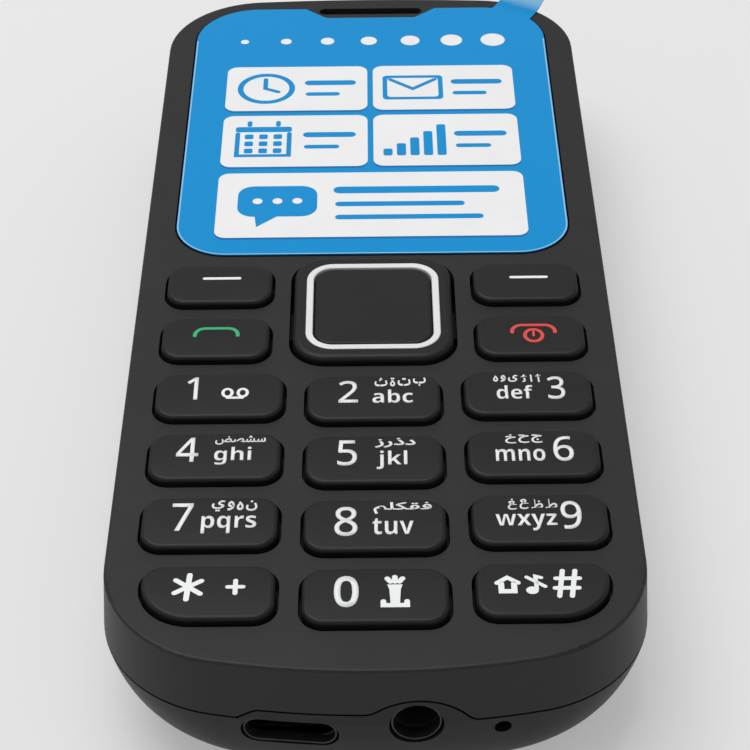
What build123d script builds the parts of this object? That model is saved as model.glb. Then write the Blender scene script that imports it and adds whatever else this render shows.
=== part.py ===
from build123d import *
import os
from math import atan2, cos, degrees, radians, sin, sqrt
from typing import NamedTuple

# A bar phone with a keypad, lying on its back: X to the right, Y to the earpiece end, Z out of the display.
# The origin is the middle of the flat of the back. All lengths are in millimetres.

# Outline of the body at its widest, where the two shells meet
body_length = 107.0
body_width = 45.4
bottom_corner_radius = 11.7
bottom_end_radius = 67.5
top_corner_radius = 10.8
top_end_radius = 200.0

# Front shell
face_height = 14.6
front_depth = 5.65
front_draft = 0.4
front_wall = 1.4
face_edge_radius = 0.3
part_gap = 0.2
overrun = 1.0

# Rear cover: a boat-shaped shell through three sections
cover_wall = 1.2
cover_mid_height = 4.4
cover_mid_side_inset = 1.8
cover_mid_end_inset = 0.9
cover_mid_corner_growth = 1.3
back_side_inset = 6.3
back_end_inset = 5.0
back_corner_growth = 6.0
back_edge_radius = 2.5
floor_edge_inset = 0.3

# Display window and its film
window_side_margin = 2.95
window_top_margin = 2.45
window_rim = 1.27
window_low_radius = 5.1
window_high_radius = 6.8
window_gap = 0.2
window_thickness = 0.8
adhesive_thickness = 0.1
adhesive_width = 1.6
notch_width = 14.6
notch_floor_width = 10.0
notch_depth = 2.05
notch_corner_radius = 0.7
film_thickness = 0.12
tab_width = 4.8
tab_length = 3.2
tab_curl_radius = 5.5
tab_direction = 58.0
tab_root = 1.2

# Earpiece
slot_margin = 2.85
slot_width = 11.6
slot_height = 1.3
mesh_border = 0.5
mesh_thickness = 0.3
receiver_width = 12.0
receiver_depth = 5.4
receiver_setback = 1.6
receiver_seat = 0.3
receiver_radius = 1.2
gasket_wall = 0.8
gasket_thickness = 0.4

# Keypad layout
bottom_row = 8.4
row_gap = 2.21
row_count = 6
key_height = 6.18
column_gap = 2.12
key_margin = 2.79
centre_key_width = 11.93
centre_key_height = 6.28
centre_key_drop = 0.53
key_corner_radius = 1.85
swept_corner_radius = 4.2
corner_key_inset = 0.5
soft_key_gap = 2.12
soft_key_height = 6.03
key_gap = 0.28

# Key sections, from the top down
key_rise = 0.75
key_edge_radius = 0.4
key_crown_radius = 45.0
key_travel = 0.35
flange_width = 0.5
flange_thickness = 0.6
flange_clearance = 0.1
nub_radius = 0.9
dome_radius = 2.0
dome_height = 0.35
dome_wall = 0.12
dome_clearance = 0.05
sheet_thickness = 0.1
sheet_clearance = 0.2
web_clearance = 0.15
web_thickness = 0.4
web_foot_radius = 0.6
led_length = 1.6
led_width = 0.8
led_height = 0.5

# Navigation key, its inlaid ring and the select key inside it
nav_width = 14.9
nav_height = 15.9
nav_rise = 0.4
nav_corner_radius = 3.1
nav_edge_radius = 0.6
nav_gap = 0.35
nav_tilt = 2.0
ring_width = 12.6
ring_height = 13.35
ring_corner_radius = 2.6
ring_line = 0.7
ring_depth = 0.6
ring_proud = 0.05
ring_edge_radius = 0.12
ring_clearance = 0.03
select_gap = 0.15
select_lip = 0.28
select_depth = 2.1
select_edge_radius = 0.25
nav_floor = 0.5
nav_skirt = 0.75
nav_tab_width = 4.0
nav_tab_length = 0.6
nav_tab_thickness = 0.5
nav_tab_play = 0.03
nav_web_clearance = 0.4
pivot_inner_radius = 2.3
pivot_outer_radius = 3.2
pivot_clearance = 0.15

# Main board
board_drop = 4.9
board_thickness = 0.9
board_clearance = 0.3

# Display module
display_side_space = 5.7
display_inset = 1.2
display_clearance = 0.6
display_side_bezel = 2.4
display_end_bezel = 2.6
backlight_thickness = 1.4
panel_thickness = 1.3
panel_inset = 0.4
flex_width = 14.0
flex_length = 8.0
flex_thickness = 0.1
gasket_clearance = 0.05

# Screws and the posts that take them
boss_radius = 1.5
end_boss_radius = 1.15
boss_clearance = 0.15
side_boss_inset = 3.2
screw_radius = 0.7
screw_clearance = 0.05
screw_head_radius = 1.1
screw_head_height = 0.7
screw_grip = 2.6
post_wall = 0.4
screw_recess = 0.3
screw_slot_width = 0.3
screw_slot_depth = 0.3

# Rear chassis, between the board and the battery
chassis_inset = 2.7
chassis_floor = 0.8
chassis_rim = 1.2
component_space = 1.4
bay_wall = 1.0
bay_clearance = 0.2
bay_depth = 3.0
port_bay_length = 15.6

# Battery and what it plugs on to
battery_side_space = 5.7
battery_end_space = 29.8
battery_thickness = 4.8
battery_edge_radius = 1.2
battery_start = 23.4
battery_clearance = 0.1
contact_width = 9.0
contact_length = 4.0
contact_depth = 5.2
contact_gap = 0.5
blade_width = 1.0
blade_height = 2.4
blade_spacing = 2.6
blade_reach = 0.4
blade_count = 3

# Sockets at the bottom end, as offsets from the middle and drops below the face
usb_offset = -6.95
usb_width = 7.5
usb_height = 2.5
usb_length = 5.6
usb_wall = 0.3
usb_chamfer = 0.6
usb_mouth_depth = 4.8
usb_blade_width = 3.6
usb_blade_thickness = 0.6
usb_hole_margin = 0.2
usb_hole_radius = 1.4
port_clearance = 0.3
jack_offset = 3.18
jack_drop = 5.9
jack_bore_radius = 1.8
jack_bore_length = 12.6
jack_width = 6.0
jack_height = 5.0
jack_length = 13.2
jack_nose_radius = 2.45
jack_nose_length = 1.2
jack_hole_radius = 2.2
mic_inset = 3.7
mic_drop = 6.9
mic_hole_radius = 0.7
mic_width = 2.6
mic_length = 2.2
mic_height = 1.0
boot_wall = 0.5
boot_snout = 1.0

# Tongues of the rear cover that carry the sockets' mouths
tongue_rise = 0.9
tongue_reach = 4.05
tongue_slope = 1.4
tongue_corner_radius = 1.0
bump_rise = 2.28
bump_radius = 5.3
bump_foot = 9.0
bump_blend_radius = 2.0

# Sockets and cans under the board
can_gap = 1.4
can_side_space = 3.1
can_length = 16.0
can_height = 1.2
can_wall = 0.2
can_end_space = 8.6
chip_share = 0.6
chip_thickness = 0.7
sim_gap = 1.0
sim_side_space = 2.7
sim_length = 13.0
sim_height = 1.3
sim_card_inset = 1.2
sim_slot_height = 0.8
card_socket_width = 13.0
card_socket_length = 12.4
card_socket_end_space = 4.6
socket_gap = 3.0
card_window_margin = 0.6

# Loudspeaker and its grille
speaker_end_space = 15.7
speaker_radius = 7.5
speaker_height = 4.2
speaker_lip = 0.5
speaker_lip_height = 0.8
speaker_cone_inset = 1.6
speaker_cone_depth = 0.7
speaker_gasket_width = 1.2
speaker_gasket_clearance = 0.2
grille_slot_length = 9.0
grille_slot_width = 1.0
grille_pitch = 2.2
grille_count = 5

# Vibration motor
motor_side_space = 9.3
motor_end_space = 13.2
motor_radius = 2.0
motor_length = 9.0
motor_shaft_radius = 0.4
motor_shaft_length = 4.0
motor_clearance = 0.1
weight_radius = 1.8
weight_length = 3.0
weight_gap = 0.5
weight_bore_clearance = 0.04

# Torch at the top end
torch_drop = 7.6
torch_radius = 1.9
torch_length = 2.6
torch_dome = 0.8
torch_clearance = 0.06
torch_setback = 0.35
torch_collar = 0.7
torch_collar_length = 1.6
torch_hole_radius = 1.7
led_body_width = 3.2
led_body_length = 2.2
led_body_height = 1.9
led_gap = 0.3
torch_notch_margin = 0.5

# Antenna plate under the chassis
antenna_side_space = 7.7
antenna_length = 4.8
antenna_start = 16.8
antenna_thickness = 0.2
antenna_gap = 0.05
antenna_slit_width = 0.8
antenna_slit_count = 4

# Heights that follow
parting_height = face_height - front_depth
inner_face = face_height - front_wall
key_top = face_height + key_rise
board_top = face_height - board_drop
board_bottom = board_top - board_thickness
nub_bottom = board_top + dome_height + key_travel + dome_clearance
flange_top = inner_face - flange_clearance
flange_bottom = flange_top - flange_thickness
web_top = flange_bottom - key_travel - web_clearance
web_bottom = web_top - web_thickness
sheet_top = board_top + sheet_thickness
chassis_top = board_bottom - component_space
chassis_bottom = chassis_top - chassis_floor
cover_top = parting_height - part_gap / 2
front_low = parting_height + part_gap / 2
battery_top = chassis_bottom - battery_clearance

# Places along the length that follow
face_low = -body_length / 2 + front_draft
face_end = body_length / 2 - front_draft
face_half_width = body_width / 2 - front_draft
cavity_inset = front_draft + front_wall
web_inset = cavity_inset + board_clearance
row_pitch = key_height + row_gap
rows = [face_low + bottom_row + row * row_pitch for row in range(row_count)]
nav_y = (rows[-1] + rows[-2]) / 2 + nav_rise
window_low = nav_y + nav_height / 2 + window_rim
window_high = face_end - window_top_margin
window_half_width = face_half_width - window_side_margin
slot_y = face_end - slot_margin
receiver_y = slot_y - receiver_setback
display_low = window_low + display_inset
display_high = receiver_y - receiver_depth / 2 - display_clearance
display_length = display_high - display_low
display_width = body_width - 2 * display_side_space
display_y = (display_low + display_high) / 2
aperture_width = display_width - 2 * display_side_bezel
aperture_length = display_length - 2 * display_end_bezel
battery_low_y = face_low + battery_start
battery_high_y = face_end - battery_end_space
battery_length = battery_high_y - battery_low_y
battery_width = body_width - 2 * battery_side_space
chassis_half_width = body_width / 2 - chassis_inset - chassis_rim
speaker_y = face_end - speaker_end_space

# Key columns that follow
outer_edge = face_half_width - key_margin
side_key_width = outer_edge - centre_key_width / 2 - column_gap
column_x = outer_edge - side_key_width / 2
mic_offset = column_x - mic_inset
soft_key_width = outer_edge - nav_width / 2 - soft_key_gap
soft_x = outer_edge - soft_key_width / 2
lane_x = centre_key_width / 2 + column_gap / 2
key_low = rows[0] - key_height / 2 - flange_width

os.makedirs("parts", exist_ok=True)


class Key(NamedTuple):
    """A key's name, place and outline, the x of its nub, and the side of its larger lower corner, or 0."""

    name: str
    x: float
    y: float
    width: float
    height: float
    nub_x: float
    swept: int


def save(piece, name):
    """Labels a finished piece and writes it under its node's name."""
    piece.part.label = name
    export_step(piece.part, f"parts/{name}.step")


def end_outline(side, inset, half_width, corner, end):
    """One end of the body: a corner arc, the wide end arc and the other corner arc, all tangent."""
    tip = body_length / 2 - inset
    centre = tip - end
    corner_x = half_width - corner
    corner_y = centre + sqrt((end - corner) ** 2 - corner_x ** 2)
    turn = degrees(atan2(corner_y - centre, corner_x))
    CenterArc((corner_x, side * corner_y), corner, 0, side * turn)
    CenterArc((0, side * centre), end, side * turn, side * (180 - 2 * turn))
    CenterArc((-corner_x, side * corner_y), corner, side * (180 - turn), side * turn)
    return side * corner_y


def body_outline(side_inset=0, end_inset=0, growth=0):
    """The body's outline seen from the front, drawn in and with its corners grown rounder."""
    half_width = body_width / 2 - side_inset
    low_corner = bottom_corner_radius - side_inset + growth
    high_corner = top_corner_radius - side_inset + growth
    with BuildSketch() as outline:
        with BuildLine():
            low = end_outline(-1, end_inset, half_width, low_corner, bottom_end_radius - end_inset)
            high = end_outline(1, end_inset, half_width, high_corner, top_end_radius - end_inset)
            Line((half_width, low), (half_width, high))
            Line((-half_width, low), (-half_width, high))
        make_face()
    return outline.sketch


def end_wall(x, inset):
    """How far down the bottom end reaches at x, on the outline drawn in by the inset."""
    end = bottom_end_radius - inset
    corner = bottom_corner_radius - inset
    corner_x = body_width / 2 - bottom_corner_radius
    centre = bottom_end_radius - body_length / 2
    if x * (end - corner) < corner_x * end:
        return centre - sqrt(end ** 2 - x ** 2)
    corner_y = centre - sqrt((end - corner) ** 2 - corner_x ** 2)
    return corner_y - sqrt(corner ** 2 - (x - corner_x) ** 2)


def key_outline(key, grow=0):
    """A key's outline, grown for its flange or its hole."""
    with BuildSketch() as outline:
        with Locations((key.x, key.y)):
            Rectangle(key.width + 2 * grow, key.height + 2 * grow)
        corners = outline.vertices()
        if key.swept:
            low_corner = (key.x + key.swept * (key.width / 2 + grow), key.y - key.height / 2 - grow)
            swept_first = corners.sort_by_distance(low_corner)
            fillet(swept_first[1:], key_corner_radius + grow)
            fillet(outline.vertices().sort_by_distance(low_corner)[0], swept_corner_radius + grow)
        else:
            fillet(corners, key_corner_radius + grow)
    return outline.sketch


# The keys: the number block row by row from the bottom, then the call and soft keys.
# The nubs of the zero key and of the key above it stand to the left of the headphone jack.
number_rows = (("star", "0", "hash"), ("7", "8", "9"), ("4", "5", "6"), ("1", "2", "3"))
jack_side = jack_offset - jack_width / 2 - 2 * board_clearance
keys = []
for row, names in enumerate(number_rows):
    for column, name in zip((-1, 0, 1), names):
        width = side_key_width if column else centre_key_width
        height = key_height if column else centre_key_height
        drop = 0 if column else centre_key_drop
        swept = column if row == 0 else 0
        inset = corner_key_inset if swept else 0
        x = column * (column_x - inset / 2)
        nub_x = jack_side - dome_radius if name in ("0", "8") else column * column_x
        keys.append(Key(f"key_{name}", x, rows[row] - drop, width - inset, height, nub_x, swept))
for side, call_name, soft_name in ((-1, "call_key", "soft_key_left"), (1, "end_key", "soft_key_right")):
    for name, y in ((call_name, rows[4]), (soft_name, rows[5])):
        keys.append(Key(name, side * soft_x, y, soft_key_width, soft_key_height, side * soft_x, 0))

# Places of the contact domes: one under each key, four under the navigation key and one under select
hole_width = ring_width - 2 * ring_line + 2 * (select_lip + select_gap)
hole_height = ring_height - 2 * ring_line + 2 * (select_lip + select_gap)
nav_nub_x = (nav_width + hole_width) / 4
nav_nub_y = (nav_height + hole_height) / 4
nav_nubs = [(nav_nub_x, 0), (-nav_nub_x, 0), (0, nav_nub_y), (0, -nav_nub_y)]
domes = [(key.nub_x, key.y) for key in keys]
domes += [(x, nav_y + y) for x, y in nav_nubs]
domes.append((0, nav_y))
leds = [(side * lane_x, row) for side in (-1, 1) for row in rows[1:4]]

# Screws: two at the bottom end, four beside the display
end_boss_y = key_low - boss_clearance - end_boss_radius
side_boss_x = body_width / 2 - cavity_inset - boss_radius - boss_clearance
end_bosses = [(side * column_x, end_boss_y) for side in (-1, 1)]
side_boss_ys = (display_low + side_boss_inset, display_high - side_boss_inset)
side_bosses = [(side * side_boss_x, y) for side in (-1, 1) for y in side_boss_ys]
screw_tip = board_top + screw_grip

# The window's outline, with its notch below the earpiece slot
with BuildSketch() as window_profile:
    with Locations((0, (window_low + window_high) / 2)):
        Rectangle(2 * window_half_width, window_high - window_low)
    fillet(window_profile.vertices().group_by(Axis.Y)[0], window_low_radius)
    fillet(window_profile.vertices().group_by(Axis.Y)[-1], window_high_radius)
    with BuildLine():
        Polyline(
            (-notch_width / 2, window_high),
            (-notch_floor_width / 2, window_high - notch_depth),
            (notch_floor_width / 2, window_high - notch_depth),
            (notch_width / 2, window_high),
            close=True,
        )
    make_face(mode=Mode.SUBTRACT)
    notch_floor = window_high - notch_depth
    notch_left = window_profile.vertices().sort_by_distance((-notch_floor_width / 2, notch_floor))[0]
    fillet(notch_left, notch_corner_radius)
    notch_right = window_profile.vertices().sort_by_distance((notch_floor_width / 2, notch_floor))[0]
    fillet(notch_right, notch_corner_radius)

# The tongue that rises from the rear cover around the two sockets, seen from the bottom end
jack_height_z = face_height - jack_drop
usb_z = board_bottom - usb_height / 2
with BuildSketch() as tongue_profile:
    with BuildLine():
        tongue_left = usb_offset - tongue_reach
        tongue_high = parting_height + tongue_rise
        foot_high = parting_height - part_gap
        Polyline(
            (tongue_left, cover_mid_height),
            (tongue_left, parting_height),
            (tongue_left + tongue_slope, tongue_high),
            (jack_offset, tongue_high),
            (jack_offset, foot_high),
            (jack_offset + bump_foot, foot_high),
            (jack_offset + bump_foot, cover_mid_height),
            close=True,
        )
    make_face()
    fillet(tongue_profile.vertices().group_by(Axis.Y)[-1].sort_by(Axis.X)[0], tongue_corner_radius)
    bump_z = parting_height + bump_rise - bump_radius
    with Locations((jack_offset, bump_z)):
        Circle(bump_radius)
    bump_left = (jack_offset - sqrt(bump_radius ** 2 - (tongue_high - bump_z) ** 2), tongue_high)
    fillet(tongue_profile.vertices().sort_by_distance(bump_left)[0], bump_blend_radius)
    bump_right = (jack_offset + sqrt(bump_radius ** 2 - (foot_high - bump_z) ** 2), foot_high)
    fillet(tongue_profile.vertices().sort_by_distance(bump_right)[0], bump_blend_radius)

# Front shell: face, side walls, key holes, window seat, earpiece slot and screw bosses
with BuildPart() as front_housing:
    for height, inset in ((front_low, 0), (face_height, front_draft)):
        with BuildSketch(Plane.XY.offset(height)):
            add(body_outline(inset, inset))
    loft(ruled=True)
    fillet(front_housing.faces().sort_by(Axis.Z)[-1].edges(), face_edge_radius)
    with BuildSketch(Plane.XY.offset(front_low)):
        add(body_outline(cavity_inset, cavity_inset))
    extrude(amount=inner_face - front_low, mode=Mode.SUBTRACT)
    with BuildSketch(Plane.XY.offset(face_height)):
        add(window_profile.sketch)
        offset(amount=window_gap)
    extrude(amount=-window_thickness - adhesive_thickness, mode=Mode.SUBTRACT)
    with BuildSketch(Plane.XY.offset(inner_face)):
        with Locations((0, display_y)):
            RectangleRounded(aperture_width, aperture_length, panel_inset)
        for key in keys:
            add(key_outline(key, key_gap))
        with Locations((0, nav_y)):
            RectangleRounded(nav_width + 2 * nav_gap, nav_height + 2 * nav_gap, nav_corner_radius + nav_gap)
        with Locations((0, slot_y)):
            SlotOverall(slot_width, slot_height)
    extrude(amount=front_wall, mode=Mode.SUBTRACT)
    with BuildSketch(Plane.XY.offset(board_top)):
        with Locations(*side_bosses):
            Circle(boss_radius)
        with Locations(*end_bosses):
            Circle(end_boss_radius)
    extrude(amount=inner_face - board_top)
    with BuildSketch(Plane.XY.offset(front_low)):
        with Locations(*side_bosses, *end_bosses):
            Circle(screw_radius + screw_clearance)
    extrude(amount=screw_tip + screw_recess - front_low, mode=Mode.SUBTRACT)
    with BuildSketch(Plane.XZ.offset(body_length / 2 + overrun)):
        add(tongue_profile.sketch)
        offset(amount=part_gap)
    extrude(amount=-key_low - body_length / 2 - overrun, mode=Mode.SUBTRACT)
save(front_housing, "front_housing")

# Tongue wall, flush with the front shell around it
with BuildPart() as port_tongue:
    for height, inset in ((cover_top, 0), (face_height, front_draft)):
        with BuildSketch(Plane.XY.offset(height)):
            add(body_outline(inset, inset))
    loft(ruled=True)
    with BuildSketch(Plane.XY.offset(cover_top)):
        add(body_outline(cover_wall, cover_wall))
    extrude(amount=front_depth + part_gap, mode=Mode.SUBTRACT)
    with BuildSketch(Plane.XZ.offset(body_length / 2 + overrun)):
        add(tongue_profile.sketch)
    extrude(amount=-body_length / 2, mode=Mode.INTERSECT)

# Rear cover: back, lower side walls and the sockets' mouths
cover_sections = (
    (cover_top, 0, 0, 0),
    (cover_mid_height, cover_mid_side_inset, cover_mid_end_inset, cover_mid_corner_growth),
    (0, back_side_inset, back_end_inset, back_corner_growth),
)
inner_sections = (
    (cover_top, cover_wall, cover_wall, 0),
    (
        cover_mid_height,
        cover_mid_side_inset + cover_wall,
        cover_mid_end_inset + cover_wall,
        cover_mid_corner_growth,
    ),
    (cover_wall, back_side_inset + floor_edge_inset, back_end_inset + floor_edge_inset, back_corner_growth),
)
torch_z = face_height - torch_drop
with BuildPart() as battery_cover:
    for height, side, end, growth in cover_sections:
        with BuildSketch(Plane.XY.offset(height)):
            add(body_outline(side, end, growth))
    loft()
    fillet(battery_cover.faces().sort_by(Axis.Z)[0].edges(), back_edge_radius)
    for height, side, end, growth in inner_sections:
        with BuildSketch(Plane.XY.offset(height)):
            add(body_outline(side, end, growth))
    loft(mode=Mode.SUBTRACT)
    add(port_tongue.part)
    with BuildSketch(Plane.XZ.offset(body_length / 2 + overrun)):
        with Locations((usb_offset, usb_z)):
            RectangleRounded(
                usb_width + 2 * usb_hole_margin,
                usb_height + 2 * usb_hole_margin,
                usb_hole_radius,
            )
        with Locations((jack_offset, jack_height_z)):
            Circle(jack_hole_radius)
        with Locations((mic_offset, face_height - mic_drop)):
            Circle(mic_hole_radius)
    extrude(amount=-bottom_corner_radius, mode=Mode.SUBTRACT)
    with BuildSketch(Plane.XZ.offset(-body_length / 2 - overrun)):
        with Locations((0, torch_z)):
            Circle(torch_hole_radius)
    extrude(amount=top_corner_radius, mode=Mode.SUBTRACT)
    with BuildSketch(Plane.XY):
        with Locations((0, speaker_y)):
            with GridLocations(0, grille_pitch, 1, grille_count):
                SlotOverall(grille_slot_length, grille_slot_width)
    extrude(amount=cover_wall + overrun, mode=Mode.SUBTRACT)
save(battery_cover, "battery_cover")

# Display window, set in the face, and the tape under its edge
with BuildPart() as window_lens:
    with BuildSketch(Plane.XY.offset(face_height)):
        add(window_profile.sketch)
    extrude(amount=-window_thickness)
save(window_lens, "window_lens")

with BuildPart() as window_adhesive:
    with BuildSketch(Plane.XY.offset(face_height - window_thickness)):
        add(window_profile.sketch)
        with Locations((0, display_y)):
            Rectangle(aperture_width + adhesive_width, aperture_length + adhesive_width, mode=Mode.SUBTRACT)
    extrude(amount=-adhesive_thickness)
save(window_adhesive, "window_adhesive")

# Peel-off film over the window, with a pull tab that curls up from its upper right corner
tab_corner_x = window_half_width - window_high_radius
tab_corner_y = window_high - window_high_radius
tab_turn = degrees(tab_length / tab_curl_radius)
tab_plane = Plane(
    origin=(
        tab_corner_x + window_high_radius * cos(radians(tab_direction)),
        tab_corner_y + window_high_radius * sin(radians(tab_direction)),
        face_height,
    ),
    x_dir=(cos(radians(tab_direction)), sin(radians(tab_direction)), 0),
    z_dir=(sin(radians(tab_direction)), -cos(radians(tab_direction)), 0),
)
with BuildPart() as protective_film:
    with BuildSketch(Plane.XY.offset(face_height)):
        add(window_profile.sketch)
    extrude(amount=film_thickness)
    with BuildSketch(tab_plane.offset(-tab_width / 2)):
        with BuildLine():
            low_edge = CenterArc((0, tab_curl_radius), tab_curl_radius, -90, tab_turn)
            high_edge = CenterArc((0, tab_curl_radius), tab_curl_radius - film_thickness, -90, tab_turn)
            Line(low_edge @ 1, high_edge @ 1)
            Polyline(low_edge @ 0, (-tab_root, 0), (-tab_root, film_thickness), high_edge @ 0)
        make_face()
    extrude(amount=tab_width)
save(protective_film, "protective_film")

# Earpiece: mesh behind the slot, a ring of foam and the receiver
mesh_low = inner_face - mesh_thickness
with BuildPart() as earpiece_mesh:
    with BuildSketch(Plane.XY.offset(mesh_low)):
        with Locations((0, slot_y)):
            SlotOverall(slot_width + 2 * mesh_border, slot_height + 2 * mesh_border)
    extrude(amount=mesh_thickness)
save(earpiece_mesh, "earpiece_mesh")

receiver_top = mesh_low - gasket_thickness
with BuildPart() as earpiece_gasket:
    with BuildSketch(Plane.XY.offset(receiver_top)):
        with Locations((0, receiver_y)):
            RectangleRounded(receiver_width, receiver_depth, receiver_radius)
            offset(amount=-gasket_wall, mode=Mode.SUBTRACT)
    extrude(amount=gasket_thickness)
save(earpiece_gasket, "earpiece_gasket")

receiver_low = board_top + receiver_seat
with BuildPart() as earpiece_receiver:
    with BuildSketch(Plane.XY.offset(receiver_low)):
        with Locations((0, receiver_y)):
            RectangleRounded(receiver_width, receiver_depth, receiver_radius)
    extrude(amount=receiver_top - receiver_low)
    fillet(earpiece_receiver.faces().sort_by(Axis.Z)[0].edges(), receiver_seat)
save(earpiece_receiver, "earpiece_receiver")

# Display module on the board: ribbon, backlight, glass panel and the foam frame above it
backlight_low = board_top + flex_thickness
panel_low = backlight_low + backlight_thickness
panel_top = panel_low + panel_thickness
with BuildPart() as display_flex:
    with BuildSketch(Plane.XY.offset(board_top)):
        with Locations((0, display_low + flex_length)):
            Rectangle(flex_width, flex_length)
    extrude(amount=flex_thickness)
save(display_flex, "display_flex")

with BuildPart() as display_backlight:
    with BuildSketch(Plane.XY.offset(backlight_low)):
        with Locations((0, display_y)):
            RectangleRounded(display_width, display_length, panel_inset)
    extrude(amount=backlight_thickness)
save(display_backlight, "display_backlight")

with BuildPart() as display_panel:
    with BuildSketch(Plane.XY.offset(panel_low)):
        with Locations((0, display_y)):
            Rectangle(display_width - 2 * panel_inset, display_length - 2 * panel_inset)
    extrude(amount=panel_thickness)
    chamfer(display_panel.faces().sort_by(Axis.Z)[-1].edges(), panel_inset / 2)
save(display_panel, "display_panel")

with BuildPart() as display_gasket:
    with BuildSketch(Plane.XY.offset(panel_top)):
        with Locations((0, display_y)):
            Rectangle(display_width - 2 * panel_inset, display_length - 2 * panel_inset)
            Rectangle(aperture_width, aperture_length, mode=Mode.SUBTRACT)
    extrude(amount=inner_face - gasket_clearance - panel_top)
save(display_gasket, "display_gasket")

# Key caps: crowned top, flange under the face and a nub over its dome
for key in keys:
    with BuildPart() as key_cap:
        with BuildSketch(Plane.XY.offset(flange_bottom)):
            add(key_outline(key))
        extrude(amount=key_top - flange_bottom)
        with Locations((key.x, key.y, key_top - key_crown_radius)):
            Cylinder(key_crown_radius, key.width + 2 * overrun, rotation=(0, 90, 0), mode=Mode.INTERSECT)
        fillet(key_cap.faces().sort_by(Axis.Z)[-1].edges(), key_edge_radius)
        with BuildSketch(Plane.XY.offset(flange_bottom)):
            add(key_outline(key, flange_width))
            add(body_outline(web_inset, web_inset), mode=Mode.INTERSECT)
        extrude(amount=flange_thickness)
        with BuildSketch(Plane.XY.offset(nub_bottom)):
            with Locations((key.nub_x, key.y)):
                Circle(nub_radius)
        extrude(amount=flange_bottom - nub_bottom)
    save(key_cap, key.name)

# Navigation key: a dish with a rebate for its ring, four tabs under the face and four nubs
nav_reach = nav_height / 2 + nav_tab_length + nav_tab_width / 2
nav_tab_top = inner_face - nav_reach * sin(radians(nav_tilt)) - nav_tab_play
nav_low = nav_tab_top - nav_tab_thickness - nav_skirt
ring_seat = key_top - ring_depth
with BuildPart() as nav_key:
    with BuildSketch(Plane.XY.offset(nav_low)):
        with Locations((0, nav_y)):
            RectangleRounded(nav_width, nav_height, nav_corner_radius)
    extrude(amount=key_top - nav_low)
    fillet(nav_key.faces().sort_by(Axis.Z)[-1].edges(), nav_edge_radius)
    with BuildSketch(Plane.XY.offset(ring_seat)):
        with Locations((0, nav_y)):
            RectangleRounded(ring_width, ring_height, ring_corner_radius)
    extrude(amount=ring_depth, mode=Mode.SUBTRACT)
    with BuildSketch(Plane.XY.offset(nav_low + nav_floor)):
        with Locations((0, nav_y)):
            RectangleRounded(
                hole_width,
                hole_height,
                ring_corner_radius - ring_line + select_lip + select_gap,
            )
    extrude(amount=key_top - nav_low - nav_floor, mode=Mode.SUBTRACT)
    with BuildSketch(Plane.XY.offset(nav_low)):
        with Locations((0, nav_y)):
            Circle(nub_radius + nav_gap)
    extrude(amount=nav_floor, mode=Mode.SUBTRACT)
    with BuildSketch(Plane.XY.offset(nav_tab_top)):
        with Locations((0, nav_y)):
            Rectangle(nav_width + 2 * nav_tab_length, nav_tab_width)
            Rectangle(nav_tab_width, nav_height + 2 * nav_tab_length)
            Rectangle(hole_width + 2 * select_gap, hole_height + 2 * select_gap, mode=Mode.SUBTRACT)
    extrude(amount=-nav_tab_thickness)
    with BuildSketch(Plane.XY.offset(nub_bottom)):
        with Locations((0, nav_y)):
            with Locations(*nav_nubs):
                Circle(nub_radius)
    extrude(amount=nav_low - nub_bottom)
save(nav_key, "nav_key")

# White ring inlaid in the navigation key
with BuildPart() as nav_ring:
    with BuildSketch(Plane.XY.offset(ring_seat)):
        with Locations((0, nav_y)):
            RectangleRounded(
                ring_width - 2 * ring_clearance,
                ring_height - 2 * ring_clearance,
                ring_corner_radius - ring_clearance,
            )
            RectangleRounded(
                ring_width - 2 * ring_line,
                ring_height - 2 * ring_line,
                ring_corner_radius - ring_line,
                mode=Mode.SUBTRACT,
            )
    extrude(amount=ring_depth + ring_proud)
    fillet(nav_ring.faces().sort_by(Axis.Z)[-1].edges(), ring_edge_radius)
save(nav_ring, "nav_ring")

# Select key, kept in the dish by the ring over its lip
select_width = ring_width - 2 * ring_line - 2 * select_gap
select_height = ring_height - 2 * ring_line - 2 * select_gap
select_radius = ring_corner_radius - ring_line - select_gap
select_low = key_top - select_depth
with BuildPart() as select_key:
    with BuildSketch(Plane.XY.offset(select_low)):
        with Locations((0, nav_y)):
            RectangleRounded(select_width, select_height, select_radius)
    extrude(amount=select_depth)
    fillet(select_key.faces().sort_by(Axis.Z)[-1].edges(), select_edge_radius)
    with BuildSketch(Plane.XY.offset(select_low)):
        with Locations((0, nav_y)):
            RectangleRounded(
                select_width + 2 * select_lip,
                select_height + 2 * select_lip,
                select_radius + select_lip,
            )
    extrude(amount=ring_seat - flange_clearance - select_low)
    with BuildSketch(Plane.XY.offset(nub_bottom)):
        with Locations((0, nav_y)):
            Circle(nub_radius)
    extrude(amount=select_low - nub_bottom)
save(select_key, "select_key")

# Rubber ring on which the navigation key rocks
with BuildPart() as nav_pivot:
    with BuildSketch(Plane.XY.offset(sheet_top + pivot_clearance)):
        with Locations((0, nav_y)):
            Circle(pivot_outer_radius)
            Circle(pivot_inner_radius, mode=Mode.SUBTRACT)
    extrude(amount=nav_low - sheet_top - 2 * pivot_clearance)
save(nav_pivot, "nav_pivot")

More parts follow.
